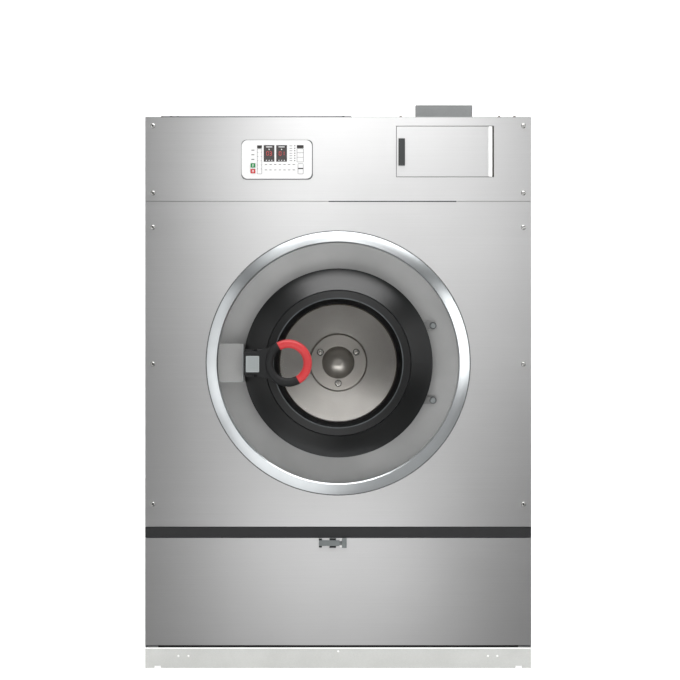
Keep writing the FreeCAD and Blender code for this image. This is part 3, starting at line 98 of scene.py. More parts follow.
class Grain(Enum):
    """How far a brushing mark runs along X, Y and Z, in millimetres."""

    LEVEL = (240.0, 240.0, 1.5)
    CROSSWISE = (240.0, 1.5, 240.0)


def linear(code: str) -> Colour:
    """Turn an sRGB hex colour into linear light.

    Args:
        code: Colour such as "#c0c0c0".

    Returns:
        Red, green, blue and a full alpha.
    """
    parts = [int(code[i:i + 2], 16) / 255 for i in (1, 3, 5)]
    curve = [c / 12.92 if c <= 0.04045 else ((c + 0.055) / 1.055) ** 2.4 for c in parts]
    return (*curve, 1.0)


def grey(level: float) -> Colour:
    """Give a neutral linear colour, which may be brighter than white for a light."""
    return (level, level, level, 1.0)


def around(middle: float, half: float) -> Span:
    """Give the edges that lie half a width to either side of a middle."""
    return (middle - half, middle + half)


def mm(*points: Span) -> list[Span]:
    """Turn a profile in millimetres into metres."""
    return [(radius * MM, height * MM) for radius, height in points]


def per(size_mm: float) -> float:
    """Give the scale of a pattern whose patches are so many millimetres across."""
    return 1 / (size_mm * MM)


def add_node(tree: Tree, kind: str, sockets: Mapping[str | int, object] | None = None,
             **settings: object) -> Node:
    """Add a shader node with its settings and links.

    Args:
        tree: Node tree that takes the node.
        kind: Node type, such as "ShaderNodeTexNoise".
        sockets: Input name or number to a constant, to the socket that feeds it, or to a node whose
            first live output does.
        settings: Properties of the node.

    Returns:
        The new node.
    """
    node = tree.nodes.new(kind)
    for name, value in settings.items():
        setattr(node, name, value)
    for name, value in (sockets or {}).items():
        if isinstance(value, Node):
            value = next(output for output in value.outputs if output.enabled)
        if isinstance(value, Socket):
            tree.links.new(value, node.inputs[name])
        else:
            node.inputs[name].default_value = value
    return node


@dataclass(frozen=True)
class Finish:
    """A surface finish that becomes one material."""

    name: str

    def surface(self, add: Adder, place: Socket) -> Node:
        """Build the shader.

        Args:
            add: Call that adds a node to the material.
            place: Where a point of the piece lies.

        Returns:
            The last node of the shader.
        """
        raise NotImplementedError

    @cache
    def make(self) -> bpy.types.Material:
        """Make the material, once for each finish.

        Returns:
            The material with its nodes.
        """
        material = bpy.data.materials.new(self.name)
        material.use_nodes = True
        material.node_tree.nodes.clear()
        add = partial(add_node, material.node_tree)
        place = add("ShaderNodeTexCoord").outputs["Object"]
        add("ShaderNodeOutputMaterial", {"Surface": self.surface(add, place)})
        return material


@dataclass(frozen=True)
class PatchyFinish(Finish):
    """Finish whose colour and gloss vary a little over the surface."""

    base: str
    shade: str
    roughness: Span

    def skin(self, add: Adder, tone: Feed, tone_range: Span, tooth: Feed,
             tooth_range: Span = (0.0, 1.0)) -> dict[str, Node]:
        """Let the colour follow one pattern and the roughness another.

        Args:
            add: Call that adds a node to the material.
            tone: Pattern of the colour.
            tone_range: Its values at the shade and at the base colour.
            tooth: Pattern of the roughness.
            tooth_range: Its values at the least and the most rough.

        Returns:
            Inputs for the shader.
        """
        share = add("ShaderNodeMapRange", {
            "Value": tone, "From Min": tone_range[0], "From Max": tone_range[1]})
        colour = add("ShaderNodeMix", {
            0: share, 6: linear(self.shade), 7: linear(self.base)}, data_type="RGBA")
        rough = add("ShaderNodeMapRange", {
            "Value": tooth, "From Min": tooth_range[0], "From Max": tooth_range[1],
            "To Min": self.roughness[0], "To Max": self.roughness[1]})
        return {"Base Color": colour, "Roughness": rough}


@dataclass(frozen=True)
class BrushedStainless(PatchyFinish):
    """Belt-brushed stainless sheet: long level marks that stretch highlights up and down."""

    roughness: Span = (0.31, 0.36)
    # Real marks are about 0.3 mm apart; they are drawn at 1.5 mm so that a pixel can show them.
    grain: Grain = Grain.LEVEL
    anisotropy: float = 0.5
    bump: float = 0.01
    cloud_mm: float = 260.0

    def surface(self, add: Adder, place: Socket) -> Node:
        """Build metal with streaks in its colour and roughness, and broad handling marks."""
        scale = tuple(map(per, self.grain.value))
        drawn = add("ShaderNodeMapping", {"Vector": place, "Scale": scale})
        marks = add("ShaderNodeTexNoise", {"Vector": drawn, "Scale": 1.0, "Detail": 4.0, "Roughness": 0.65})
        clouds = add("ShaderNodeTexNoise", {"Vector": place, "Scale": per(self.cloud_mm)})
        both = add("ShaderNodeMath", {0: marks, 1: clouds}, operation="MULTIPLY")
        dents = add("ShaderNodeBump", {"Height": marks, "Strength": self.bump, "Distance": 0.4 * MM})
        along = add("ShaderNodeTangent", direction_type="RADIAL", axis="Z")
        return add("ShaderNodeBsdfPrincipled", {
            **self.skin(add, both, (0.12, 0.42), marks, (0.3, 0.7)), "Metallic": 1.0,
            "Anisotropic": self.anisotropy, "Anisotropic Rotation": ACROSS_MARKS, "Tangent": along,
            "Normal": dents})


@dataclass(frozen=True)
class TurnedStainless(PatchyFinish):
    """Stainless turned or spun about the drum's axis: rings that pull highlights out into rays."""

    roughness: Span = (0.22, 0.34)
    anisotropy: float = 0.5
    metallic: float = 1.0
    # Tool marks of about 0.5 mm are drawn 3 mm apart so that they show.
    pitch_mm: float = 3.0
    smear_mm: float = 90.0

    def radius(self, add: Adder, place: Socket) -> Node:
        """Measure how far a point lies from the drum's axis."""
        centred = add("ShaderNodeMapping", {
            "Vector": place, "Location": (0.0, 0.0, -AXIS_Z), "Scale": (1.0, 0.0, 1.0)})
        return add("ShaderNodeVectorMath", {0: centred}, operation="LENGTH")

    def surface(self, add: Adder, place: Socket) -> Node:
        """Build metal with marks that run round the axis."""
        rings = add("ShaderNodeTexNoise", {
            "W": self.radius(add, place), "Scale": per(self.pitch_mm), "Detail": 3.0}, noise_dimensions="1D")
        smears = add("ShaderNodeTexNoise", {"Vector": place, "Scale": per(self.smear_mm), "Detail": 4.0})
        round_axis = add("ShaderNodeTangent", direction_type="RADIAL", axis="Y")
        return add("ShaderNodeBsdfPrincipled", {
            **self.skin(add, smears, (0.35, 0.65), rings, (0.3, 0.7)), "Metallic": self.metallic,
            "Anisotropic": self.anisotropy, "Anisotropic Rotation": ACROSS_MARKS, "Tangent": round_axis})


@dataclass(frozen=True)
class PerforatedStainless(TurnedStainless):
    """Drum sheet: turned stainless whose round wall shows rows of holes as dark patches of painted shade."""

    hole_mm: float = 6.0
    hole_pitch_mm: float = 24.0
    wall_from_mm: float = 398.0
    # Colour in the holes: painted shade, as the holes are not cut.
    depth: str = "#141414"

    def surface(self, add: Adder, place: Socket) -> Node:
        """Build the turned metal and paint the holes of the round wall dark, as painted shade."""
        metal = super().surface(add, place)
        x, y, z = add("ShaderNodeSeparateXYZ", {0: place}).outputs
        height = add("ShaderNodeMath", {0: z, 1: AXIS_Z}, operation="SUBTRACT")
        turn = add("ShaderNodeMath", {0: x, 1: height}, operation="ARCTAN2")
        off_middle = []
        for along, density in ((turn, self.wall_from_mm / self.hole_pitch_mm), (y, per(self.hole_pitch_mm))):
            count = add("ShaderNodeMath", {0: along, 1: density}, operation="MULTIPLY")
            part = add("ShaderNodeMath", {0: count}, operation="FRACT")
            off_middle.append(add("ShaderNodeMath", {0: part, 1: 0.5}, operation="SUBTRACT"))
        flat = add("ShaderNodeCombineXYZ", {0: off_middle[0], 1: off_middle[1]})
        away = add("ShaderNodeVectorMath", {0: flat}, operation="LENGTH")
        hole = add("ShaderNodeMath", {
            0: away, 1: self.hole_mm / self.hole_pitch_mm / 2}, operation="LESS_THAN")
        on_wall = add("ShaderNodeMath", {
            0: self.radius(add, place), 1: self.wall_from_mm * MM}, operation="GREATER_THAN")
        hole_shade_mask = add("ShaderNodeMath", {0: hole, 1: on_wall}, operation="MULTIPLY")
        # Painted shade: the holes are drawn as dark matt patches.
        dark = add("ShaderNodeBsdfDiffuse", {"Color": linear(self.depth)})
        return add("ShaderNodeMixShader", {0: hole_shade_mask, 1: metal, 2: dark})


@dataclass(frozen=True)
class GalvanisedSheet(PatchyFinish):
    """Hot-dipped sheet of the back: dull zinc in flat crystals, each with its own tone and gloss."""

    roughness: Span = (0.38, 0.56)
    crystal_mm: float = 16.0
    cloud_mm: float = 140.0
    metallic: float = 0.7

    def surface(self, add: Adder, place: Socket) -> Node:
        """Build zinc whose crystals differ in tone and gloss."""
        cells = add("ShaderNodeTexVoronoi", {"Vector": place, "Scale": per(self.crystal_mm)})
        tone, gloss, _ = add("ShaderNodeSeparateColor", {0: cells.outputs["Color"]}).outputs
        cloud = add("ShaderNodeTexNoise", {"Vector": place, "Scale": per(self.cloud_mm), "Detail": 3.0})
        mixed = add("ShaderNodeMath", {0: tone, 1: cloud}, operation="ADD")
        return add("ShaderNodeBsdfPrincipled", {
            **self.skin(add, mixed, (0.3, 1.7), gloss), "Metallic": self.metallic})


@dataclass(frozen=True)
class SatinMetal(PatchyFinish):
    """Cast, blasted or satin-plated metal: an even fine tooth that scatters light softly."""

    roughness: Span = (0.42, 0.58)
    tooth_mm: float = 1.6
    bump: float = 0.12
    metallic: float = 1.0
    tone_mm: float = 120.0

    def surface(self, add: Adder, place: Socket) -> Node:
        """Build metal with a fine tooth and slow changes of tone."""
        tooth = add("ShaderNodeTexNoise", {"Vector": place, "Scale": per(self.tooth_mm)})
        tone = add("ShaderNodeTexNoise", {"Vector": place, "Scale": per(self.tone_mm), "Detail": 3.0})
        dents = add("ShaderNodeBump", {"Height": tooth, "Strength": self.bump, "Distance": 0.5 * MM})
        return add("ShaderNodeBsdfPrincipled", {
            **self.skin(add, tone, (0.35, 0.65), tooth), "Metallic": self.metallic, "Normal": dents})


@dataclass(frozen=True)
class CoatedSurface(PatchyFinish):
    """Paint, enamel, rubber or moulded plastic: a coloured body under a soft skin with its own grain."""

    roughness: Span = (0.38, 0.52)
    grain_mm: float = 1.8
    bump: float = 0.15
    ior: float = 1.5
    sheen: float = 0.0
    tone_mm: float = 70.0

    def surface(self, add: Adder, place: Socket) -> Node:
        """Build the coloured body with fine grain and a slow change of tone."""
        grain = add("ShaderNodeTexNoise", {
            "Vector": place, "Scale": per(self.grain_mm), "Detail": 3.0, "Roughness": 0.6})
        tone = add("ShaderNodeTexNoise", {"Vector": place, "Scale": per(self.tone_mm), "Detail": 3.0})
        mixed = add("ShaderNodeMath", {0: grain, 1: tone}, operation="ADD")
        dents = add("ShaderNodeBump", {"Height": grain, "Strength": self.bump, "Distance": 0.4 * MM})
        return add("ShaderNodeBsdfPrincipled", {
            **self.skin(add, mixed, (0.75, 1.25), grain, (0.25, 0.75)), "IOR": self.ior,
            "Sheen Weight": self.sheen, "Normal": dents})


@dataclass(frozen=True)
class TwoCoat(Finish):
    """Piece with two finishes that meet at a straight border, such as a grained face beside a satin cone."""

    below: Finish
    above: Finish
    axis: Axis
    border: float

    def surface(self, add: Adder, place: Socket) -> Node:
        """Build both finishes and part them at the border."""
        split = add("ShaderNodeSeparateXYZ", {0: place})
        past = add("ShaderNodeMath", {
            0: split.outputs[self.axis.value], 1: self.border}, operation="GREATER_THAN")
        return add("ShaderNodeMixShader", {
            0: past, 1: self.below.surface(add, place), 2: self.above.surface(add, place)})


@dataclass(frozen=True)
class ClearGlass(Finish):
    """Pressed borosilicate glass: clear, with a faint smear that dulls its gloss in places."""

    tint: str
    ior: float = 1.3
    smear_mm: float = 60.0

    def surface(self, add: Adder, place: Socket) -> Node:
        """Build glass that lets light straight through and mirrors at a glance."""
        smear = add("ShaderNodeTexNoise", {"Vector": place, "Scale": per(self.smear_mm), "Detail": 3.0})
        rough = add("ShaderNodeMapRange", {"Value": smear, "To Min": 0.01, "To Max": 0.05})
        through = add("ShaderNodeBsdfTransparent", {"Color": linear(self.tint)})
        gloss = add("ShaderNodeBsdfPrincipled", {
            "Base Color": linear(self.tint), "Roughness": rough, "Transmission Weight": 1.0})
        share = add("ShaderNodeFresnel", {"IOR": self.ior})
        return add("ShaderNodeMixShader", {0: share, 1: through, 2: gloss})


@dataclass(frozen=True)
class LitSegment(Finish):
    """Red light-emitting segment behind a dark window, whose glow varies a little in patches."""

    glow: str
    edge: str
    strength: float
    spread_mm: float = 4.0

    def surface(self, add: Adder, place: Socket) -> Node:
        """Build a glowing plastic bar."""
        spread = add("ShaderNodeTexNoise", {"Vector": place, "Scale": per(self.spread_mm)})
        colour = add("ShaderNodeMix", {
            0: spread, 6: linear(self.edge), 7: linear(self.glow)}, data_type="RGBA")
        return add("ShaderNodeBsdfPrincipled", {
            "Base Color": colour, "Roughness": 0.35, "Emission Color": colour,
            "Emission Strength": self.strength})


@dataclass(frozen=True)
class LitBackdrop(Finish):
    """White acrylic light table or cyclorama, lit evenly from behind."""

    base: str
    glow: float
    speck_mm: float = 300.0

    def surface(self, add: Adder, place: Socket) -> Node:
        """Build matt white acrylic with a glow."""
        speck = add("ShaderNodeTexNoise", {"Vector": place, "Scale": per(self.speck_mm)})
        rough = add("ShaderNodeMapRange", {"Value": speck, "To Min": 0.8, "To Max": 0.9})
        return add("ShaderNodeBsdfPrincipled", {
            "Base Color": linear(self.base), "Roughness": rough, "Emission Color": grey(1.0),
            "Emission Strength": self.glow})


class Coat:
    """Every finish of the machine, from what the real surfaces are, apart from those noted as painted light
    or painted shade.
    """

    panel = BrushedStainless("stainless_brushed_panel", "#cfcfcf", "#c9c9c9")
    # The side and top copies of the panel's stainless are darker: painted shade, so that they don't wash out
    # under the lights. The top is also brushed crosswise.
    side = BrushedStainless("stainless_brushed_side_shaded", "#b2b3b4", "#a4a5a6")
    top = BrushedStainless("stainless_brushed_top_shaded", "#b8b9b9", "#acadad", grain=Grain.CROSSWISE)
    trim = TurnedStainless("stainless_polished_trim", "#d3d7d9", "#c9cdcf", (0.29, 0.34), 0.3)
    # The holes in the drum's wall are painted dark: painted shade.
    drum = PerforatedStainless("stainless_spun_drum_hole_shade", "#b6b3b0", "#a8a5a2", (0.34, 0.44), metallic=0.8)
    bright = SatinMetal("steel_bright_turned", "#d8d8d6", "#c3c3c1", (0.18, 0.3), 0.8, 0.04)
    screw = SatinMetal("steel_polished_screw", "#bcbcba", "#acaca9", (0.1, 0.16), 0.8, 0.03)
    dark_steel = SatinMetal("steel_dark_hinge", "#6d6861", "#4b4742", (0.3, 0.45), 0.8, 0.06)
    recess = SatinMetal("stainless_blasted_recess", "#b6b6b5", "#adadac", (0.5, 0.62), 1.4, 0.08, 0.3)
    latch = SatinMetal("zinc_cast_latch", "#7d8282", "#6f7474", (0.4, 0.52), 1.2, 0.08, 0.4)
    iron = SatinMetal("iron_as_cast", "#6b6d6f", "#545658", (0.55, 0.72), 2.4, 0.35)
    alloy = SatinMetal("aluminium_cast", "#b4b6b7", "#a2a4a5", (0.4, 0.55), 1.8, 0.2)
    brass = SatinMetal("brass_machined", "#c9a45a", "#b08a42", (0.22, 0.36), 0.9, 0.05)
    zinc = GalvanisedSheet("steel_galvanised_back", "#8f9294", "#74777a")
    base = CoatedSurface("enamel_base", "#c0c1be", "#b8b9b6", (0.3, 0.42), 3.0, 0.05)
    # White enamel used only for painted light: highlights on the base, its rivets, the latch and the
    # dispenser's hinge leaf, and light in the base's notches.
    white = CoatedSurface("painted_light_enamel", "#f6f6f5", "#eeeeed", (0.3, 0.4), 2.0, 0.04)
    motor = CoatedSurface("enamel_motor", "#3f4d5c", "#34414e", (0.35, 0.5), 2.6, 0.12)
    frame = CoatedSurface("primer_frame", "#77797b", "#66686a", (0.45, 0.6), 3.0, 0.1)
    band = CoatedSurface("powder_coat_black", "#1d1e1f", "#18191a", (0.4, 0.52), 1.6, 0.12)
    hood = CoatedSurface("powder_coat_grey", "#878989", "#7f8181", (0.5, 0.62), 1.6, 0.12)
    lock = CoatedSurface("satin_paint_lock", "#8b8b8a", "#838382", (0.4, 0.52), 1.6, 0.06)
    keypad = CoatedSurface("polycarbonate_overlay", "#cfcfcf", "#cacaca", (0.25, 0.34), 2.2, 0.03)
    window = CoatedSurface("acrylic_smoked", "#2d2625", "#241e1d", (0.08, 0.16), 2.0, 0.01)
    start = CoatedSurface("abs_green_key", "#138040", "#0f6c36", (0.25, 0.35), 1.2, 0.05)
    stop = CoatedSurface("abs_red_key", "#b5191e", "#9c1419", (0.25, 0.35), 1.2, 0.05)
    pull = CoatedSurface("abs_dark_pull", "#2e3030", "#262828", (0.42, 0.55), 1.4, 0.12)
    # Black nylon of the handle and the latch, also used for the painted shade on the latch's post.
    lever = CoatedSurface("nylon_black_lever_and_painted_shade", "#151617", "#101112", (0.5, 0.62), 1.2, 0.1, 1.4)
    grip = CoatedSurface("elastomer_red_grip", "#b9272b", "#a82024", (0.36, 0.48), 1.4, 0.1, sheen=0.1)
    plastic = CoatedSurface("polypropylene_grey", "#6c6f71", "#5c5f61", (0.42, 0.56), 1.6, 0.12)
    # Black rubber of the seals, belt and gland, also used for painted shade: the seam strip, the rings round
    # the hub screws and the louvre slots of the back.
    rubber = CoatedSurface("rubber_moulded_and_painted_shade", "#222222", "#181818", (0.6, 0.78), 1.2, 0.2, sheen=0.15)
    # Grey rubber of the trim and lid gaskets, also used for the painted shadow round the keypad and round the
    # hinge bolts.
    shade = CoatedSurface("rubber_grey_and_painted_shadow", "#5b5d5e", "#505253", (0.55, 0.7), 1.2, 0.1)
    bead = CoatedSurface("rubber_glossy_bead", "#3a332b", "#2e2822", (0.12, 0.2), 1.2, 0.02, 1.6)
    gasket = CoatedSurface("rubber_brown_seal", "#2b2620", "#211d18", (0.25, 0.35), 1.2, 0.05)
    ink = CoatedSurface("ink_black", "#2a2624", "#211d1c", (0.4, 0.5), 1.0, 0.02)
    ink_grey = CoatedSurface("ink_grey", "#474747", "#3e3e3e", (0.4, 0.5), 1.0, 0.02)
    plate = CoatedSurface("aluminium_label_plate", "#858a8a", "#7f8484", (0.4, 0.5), 0.9, 0.05)
    # Light grey of the label rim, the hinge bolts and the rear plate's border, also used for the painted
    # highlight along the lock box's edges.
    rim = CoatedSurface("light_grey_rim_and_painted_highlight", "#929797", "#8c9191", (0.35, 0.45), 0.9, 0.05)
    segment = LitSegment("led_red_segment", "#c8302b", "#a81f24", 0.12)
    glass = ClearGlass("borosilicate_clear", "#f4f4f3")
    # The dome is blasted and the flange round it is turned.
    hub = TwoCoat(
        "stainless_hub_cap",
        SatinMetal("stainless_satin_dome", "#bcb8b3", "#b0aca7", (0.34, 0.4), 1.2, 0.04, 0.72),
        TurnedStainless("stainless_turned_hub", "#b2aeaa", "#a9a5a1", (0.38, 0.42), 0.3, 0.85),
        Axis.Y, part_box("hub_cap")[1].y - 7 * MM)
    # The flat face of the door's cover is grained, and the cone behind it is smooth.
    black = TwoCoat(
        "abs_black_cover",
        CoatedSurface("abs_black_grained", "#454a4c", "#272b2d", (0.42, 0.52), 4.6, 0.5),
        CoatedSurface("abs_black_satin", "#070809", "#050606", (0.32, 0.38), 1.8, 0.12),
        Axis.Y, FRONT - 29.6 * MM)
    # Painted highlight and painted shade: the leaf is white for the bright strip of its polished face, and
    # its outer edge beside the hinge is black for the shade in the gap there.
    leaf = TwoCoat(
        "leaf_painted_highlight_and_shade", white,
        CoatedSurface("leaf_edge_painted_shade", "#1d1b19", "#161412", (0.45, 0.55), 1.2, 0.1),
        Axis.X, 398.8 * MM)


def dress(finish: Finish, *nodes: str) -> None:
    """Give CAD nodes a finish.

    Args:
        finish: Finish to put on.
        nodes: Names of the nodes.
    """
    for name in nodes:
        for place in frame["nodes"][name].material_slots:
            place.material = finish.make()


class Blank:
    """Mesh under way that ends as one piece."""

    def __init__(self) -> None:
        """Start with nothing."""
        self.mesh = bmesh.new()

    def fresh(self, before: set[bmesh.types.BMVert]) -> list[bmesh.types.BMVert]:
        """Give the vertices that were not there before."""
        return [v for v in self.mesh.verts if v not in before]

    def plate(self, x: Span, z: Span, y: float, depth: float, corner: float = 0.0,
              line: float = 0.0) -> "Blank":
        """Add a plate that faces the front, or the outline of one.

        Args:
            x: Left and right edges.
            z: Lower and upper edges.
            y: Depth of its back.
            depth: Thickness towards the front.
            corner: Radius of its corners.
            line: Width of the outline, or nothing for a full plate.

        Returns:
            The same blank.
        """
        mesh, before = self.mesh, set(self.mesh.verts)
        edges = ((x[0], z[0]), (x[1], z[0]), (x[1], z[1]), (x[0], z[1]))
        corners = [mesh.verts.new((px, y, pz)) for px, pz in edges]
        mesh.faces.new(corners)
        if corner:
            bmesh.ops.bevel(mesh, geom=corners, offset=corner, offset_type="OFFSET", segments=5, profile=0.5,
                            affect="VERTICES", material=-1)
        faces = list({f for v in self.fresh(before) for f in v.link_faces})
        if line:
            inner = faces[0]
            rim = bmesh.ops.inset_region(mesh, faces=faces, thickness=line, use_boundary=True,
                                         use_even_offset=True)
            bmesh.ops.delete(mesh, geom=[inner], context="FACES")
            faces = rim["faces"]
        raised = bmesh.ops.extrude_face_region(mesh, geom=faces)["geom"]
        front = [v for v in raised if isinstance(v, bmesh.types.BMVert)]
        bmesh.ops.translate(mesh, vec=(0.0, -depth, 0.0), verts=front)
        return self

    def lathe(self, profile: Sequence[Span], feet: Iterable[Sequence[float]], toward: Toward = Toward.FRONT,
              steps: int = 24) -> "Blank":
        """Add shapes turned from a (radius, height) profile.

        Args:
            profile: Radius and height of each point, closed on itself or on the axis.
            feet: Foot of each shape's axis.
            toward: Way that the height grows.
            steps: Number of steps round the axis.

        Returns:
            The same blank.
        """
        mesh, axis = self.mesh, Vector(toward.value)
        side = axis.orthogonal().normalized()
        for foot in map(Vector, feet):
            before = set(mesh.verts)
            points = [mesh.verts.new(foot + axis * h + side * r) for r, h in profile]
            edges = [mesh.edges.new(pair) for pair in zip(points, points[1:])]
            bmesh.ops.spin(mesh, geom=points + edges, cent=foot, axis=axis, angle=math.tau, steps=steps,
                           use_merge=True)
            bmesh.ops.remove_doubles(mesh, verts=self.fresh(before), dist=WELD)
        return self

    def settle(self, name: str, finish: Finish) -> bpy.types.Object:
        """Turn the mesh into an object.

        Args:
            name: Name of the object.
            finish: Its finish.

        Returns:
            The new object.
        """
        data = bpy.data.meshes.new(name)
        self.mesh.to_mesh(data)
        self.mesh.free()
        data.materials.append(finish.make())
        made = bpy.data.objects.new(name, data)
        bpy.context.scene.collection.objects.link(made)
        return made

    def piece(self, name: str, body: str, slot: str, finish: Finish) -> bpy.types.Object:
        """Turn the mesh into a finished piece that rides on a body.

        Args:
            name: Name of the piece.
            body: Body that it moves with.
            slot: Material slot of the record; not used.
            finish: Its finish.

        Returns:
            The new object.
        """
        bmesh.ops.recalc_face_normals(self.mesh, faces=self.mesh.faces)
        made = self.settle(name, finish)
        made.data.set_sharp_from_angle(angle=CRISP)
        made.data.shade_smooth()
        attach(made, body)
        LOG.info("%s rides on %s", name, body)
        return made


@dataclass(frozen=True)
class ScrewHead:
    """Button-headed screw with a round socket."""

    radius: float = 6.5 * MM
    height: float = 3.2 * MM
    # Shares of the radius and the height, from the socket's floor to the rim and the foot.
    outline: tuple[Span, ...] = (
        (0.0, 0.45), (0.34, 0.45), (0.38, 0.96), (0.46, 1.0), (0.66, 0.88), (0.84, 0.62), (0.96, 0.3),
        (1.0, 0.0), (0.0, 0.0))
    steps: int = 20

    def add(self, blank: Blank, spots: Iterable[Spot], toward: Toward = Toward.FRONT) -> None:
        """Add heads at several places.

        Args:
            blank: Mesh that takes them.
            spots: Where each stands.
            toward: Way that they face.
        """
        profile = [(self.radius * across, self.height * up) for across, up in self.outline]
        blank.lathe(profile, spots, toward, self.steps)


@dataclass
class Cabinet:
    """Sheet-metal casing with its screws, gaskets, band, base and top."""

    screw_inset: float = 20 * MM
    screw_levels: tuple[float, ...] = (1.405, 1.231, 1.142, 0.788, 0.425)
    side_levels: tuple[float, ...] = (0.575, 0.671, 0.864)
    side_setback: float = 150 * MM
    top_screw_x: tuple[float, ...] = (0.162, 0.417, 0.457, -0.456, -0.415)
    top_screw_setback: float = 30 * MM
    top_head: ScrewHead = ScrewHead(4.5 * MM, 3.4 * MM)
    lid_head: ScrewHead = ScrewHead(4.5 * MM, 2.4 * MM)
    lid_screw_inset: float = 22 * MM
    lid_seal_setback: float = 6 * MM
    lid_seal_depth: float = 4 * MM
    lid_seal_drop: float = 0.2 * MM
    # Painted shade: a dark strip lies along only the part of the seam that looks dark.
    seam_shade_span: Span = (-25 * MM, 306 * MM)
    seam_overlap: Span = (1 * MM, 0.6 * MM)
    seam_depth: float = 0.5 * MM
    # White strip along the top edge of the base: painted highlight, for the bright line that its rolled edge
    # catches.
    top_highlight_height: float = 3.4 * MM
    top_highlight_depth: float = 0.8 * MM
    # White pads in the notches of the base: painted light, for the bright floor that shows through the
    # notches.
    painted_pad_x: Span = (-0.4675, 0.4675)
    lit_pad_size: Spot = (16.4 * MM, 2.6 * MM, 6.7 * MM)
    lit_pad_setback: float = 3 * MM
    lit_pad_corner: float = 0.8 * MM
    kick_half: float = 466 * MM
    kick_gap: float = 0.6 * MM
    kick_setback: float = 9 * MM
    kick_depth: float = 3 * MM
    block_gap: float = 1 * MM
    block_inset: float = 7 * MM
    block_height: float = 4.2 * MM
    rivet: ScrewHead = ScrewHead(2.8 * MM, 1.4 * MM)
    rivet_x: tuple[float, ...] = (-0.414, -0.388, 0.388, 0.412)
    rivet_z: float = 32 * MM
    middle_rivet: ScrewHead = ScrewHead(2.8 * MM, 1.6 * MM)
    middle_rivet_z: float = 44 * MM

    def build(self) -> None:
        """Make the screws of the front, side and top, the gasket of the lid and the dark strip of painted
        shade in the front seam, then the base.
        """
        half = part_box("front_panel")[1].x
        spots = [(side * (half - self.screw_inset), FRONT, z) for z in self.screw_levels for side in (-1, 1)]
        heads = Blank()
        ScrewHead().add(heads, spots)
        ScrewHead().add(heads, [(half, FRONT + self.side_setback, z) for z in self.side_levels], Toward.RIGHT)
        screws = heads.piece("casing_screws", "cabinet", "panel_steel", Coat.screw)
        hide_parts("panel_screws")

        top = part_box("top_cover")[1].z
        heads = Blank()
        spots = [(x, FRONT + self.top_screw_setback, top) for x in self.top_screw_x]
        self.top_head.add(heads, spots, Toward.UP)
        low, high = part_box("top_lid")
        inset = self.lid_screw_inset
        across, along = (low.x + inset, high.x - inset), (low.y + inset, high.y - inset)
        self.lid_head.add(heads, [(x, y, high.z) for x in across for y in along], Toward.UP)
        heads.piece("top_screws", "cabinet", "panel_steel", Coat.dark_steel)

        level = (low.z, high.z - self.lid_seal_drop)
        seal = Blank().plate((low.x, high.x), level, FRONT + self.lid_seal_setback, self.lid_seal_depth)
        seal.piece("lid_gasket", "cabinet", "seal_rubber", Coat.shade)

        # Dark strip in the middle part of the front seam: painted shade.
        below, above = self.seam_overlap
        level = (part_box("front_panel")[1].z - below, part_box("control_panel")[0].z + above)
        strip = Blank().plate(self.seam_shade_span, level, FRONT, self.seam_depth)
        strip.piece("seam_shade_strip", "cabinet", "seal_rubber", Coat.rubber)
        self.build_base()

    def build_base(self) -> None:
        """Make the white strip of painted highlight along the base's top edge, the white pads of painted
        light in its notches, the kick seal, the end blocks and the white-painted rivets of the base.
        """
        low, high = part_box("base_frame")
        width, depth, height = self.lit_pad_size
        # Painted highlight along the top edge, and painted light in the two notches, both in white enamel.
        white_marks = Blank().plate((low.x, high.x), (high.z - self.top_highlight_height, high.z), FRONT, self.top_highlight_depth)
        for x in self.painted_pad_x:
            white_marks.plate(around(x, width / 2), (0.0, height), FRONT + self.lit_pad_setback, depth, self.lit_pad_corner)
        white_marks.piece("base_painted_highlights", "cabinet", "base_paint", Coat.white)

        back = FRONT + self.kick_setback
        level = (high.z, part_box("lower_panel")[0].z - self.kick_gap)
        kick = Blank().plate(around(0.0, self.kick_half), level, back, self.kick_depth)
        kick.piece("kick_seal", "cabinet", "seal_rubber", Coat.rubber)

        ends = Blank()
        reach = (self.kick_half + self.block_gap, high.x - self.block_inset)
        for side in (-1, 1):
            left, right = sorted(side * x for x in reach)
            ends.plate((left, right), (high.z, high.z + self.block_height), back, self.kick_depth)
        ends.piece("kick_end_blocks", "cabinet", "base_paint", Coat.hood)

        # The rivets are in white enamel: painted highlight, for the light that their metal heads catch.
        rivets = Blank()
        self.rivet.add(rivets, [(x, FRONT, self.rivet_z) for x in self.rivet_x])
        self.middle_rivet.add(rivets, [(0.0, FRONT, self.middle_rivet_z)])
        rivets.piece("base_rivets", "cabinet", "base_paint", Coat.white)

    def dress(self) -> None:
        """Put the finishes on the casing."""
        dress(Coat.panel, "control_panel", "front_panel", "lower_panel")
        dress(Coat.side, "left_side_panel", "right_side_panel")
        dress(Coat.top, "top_cover", "top_lid")
        dress(Coat.screw, "panel_screws")
        dress(Coat.base, "base_frame")
        dress(Coat.frame, "frame_posts", "tub_cradle", "motor_bracket", "panel_pivots")
        dress(Coat.band, "band_strip")
        dress(Coat.hood, "vent_hood")


class Segment(Enum):
    """Bars of a seven-bar digit: middle across and up in half digits, and whether it lies flat."""

    TOP = (0.0, 1.0, True)
    MIDDLE = (0.0, 0.0, True)
    BOTTOM = (0.0, -1.0, True)
    UPPER_LEFT = (-1.0, 0.5, False)
    UPPER_RIGHT = (1.0, 0.5, False)
    LOWER_LEFT = (-1.0, -0.5, False)
    LOWER_RIGHT = (1.0, -0.5, False)


DIGITS = {
    0: tuple(s for s in Segment if s is not Segment.MIDDLE),
    1: (Segment.UPPER_RIGHT, Segment.LOWER_RIGHT),
    3: tuple(s for s in Segment if s not in (Segment.UPPER_LEFT, Segment.LOWER_LEFT)),
}


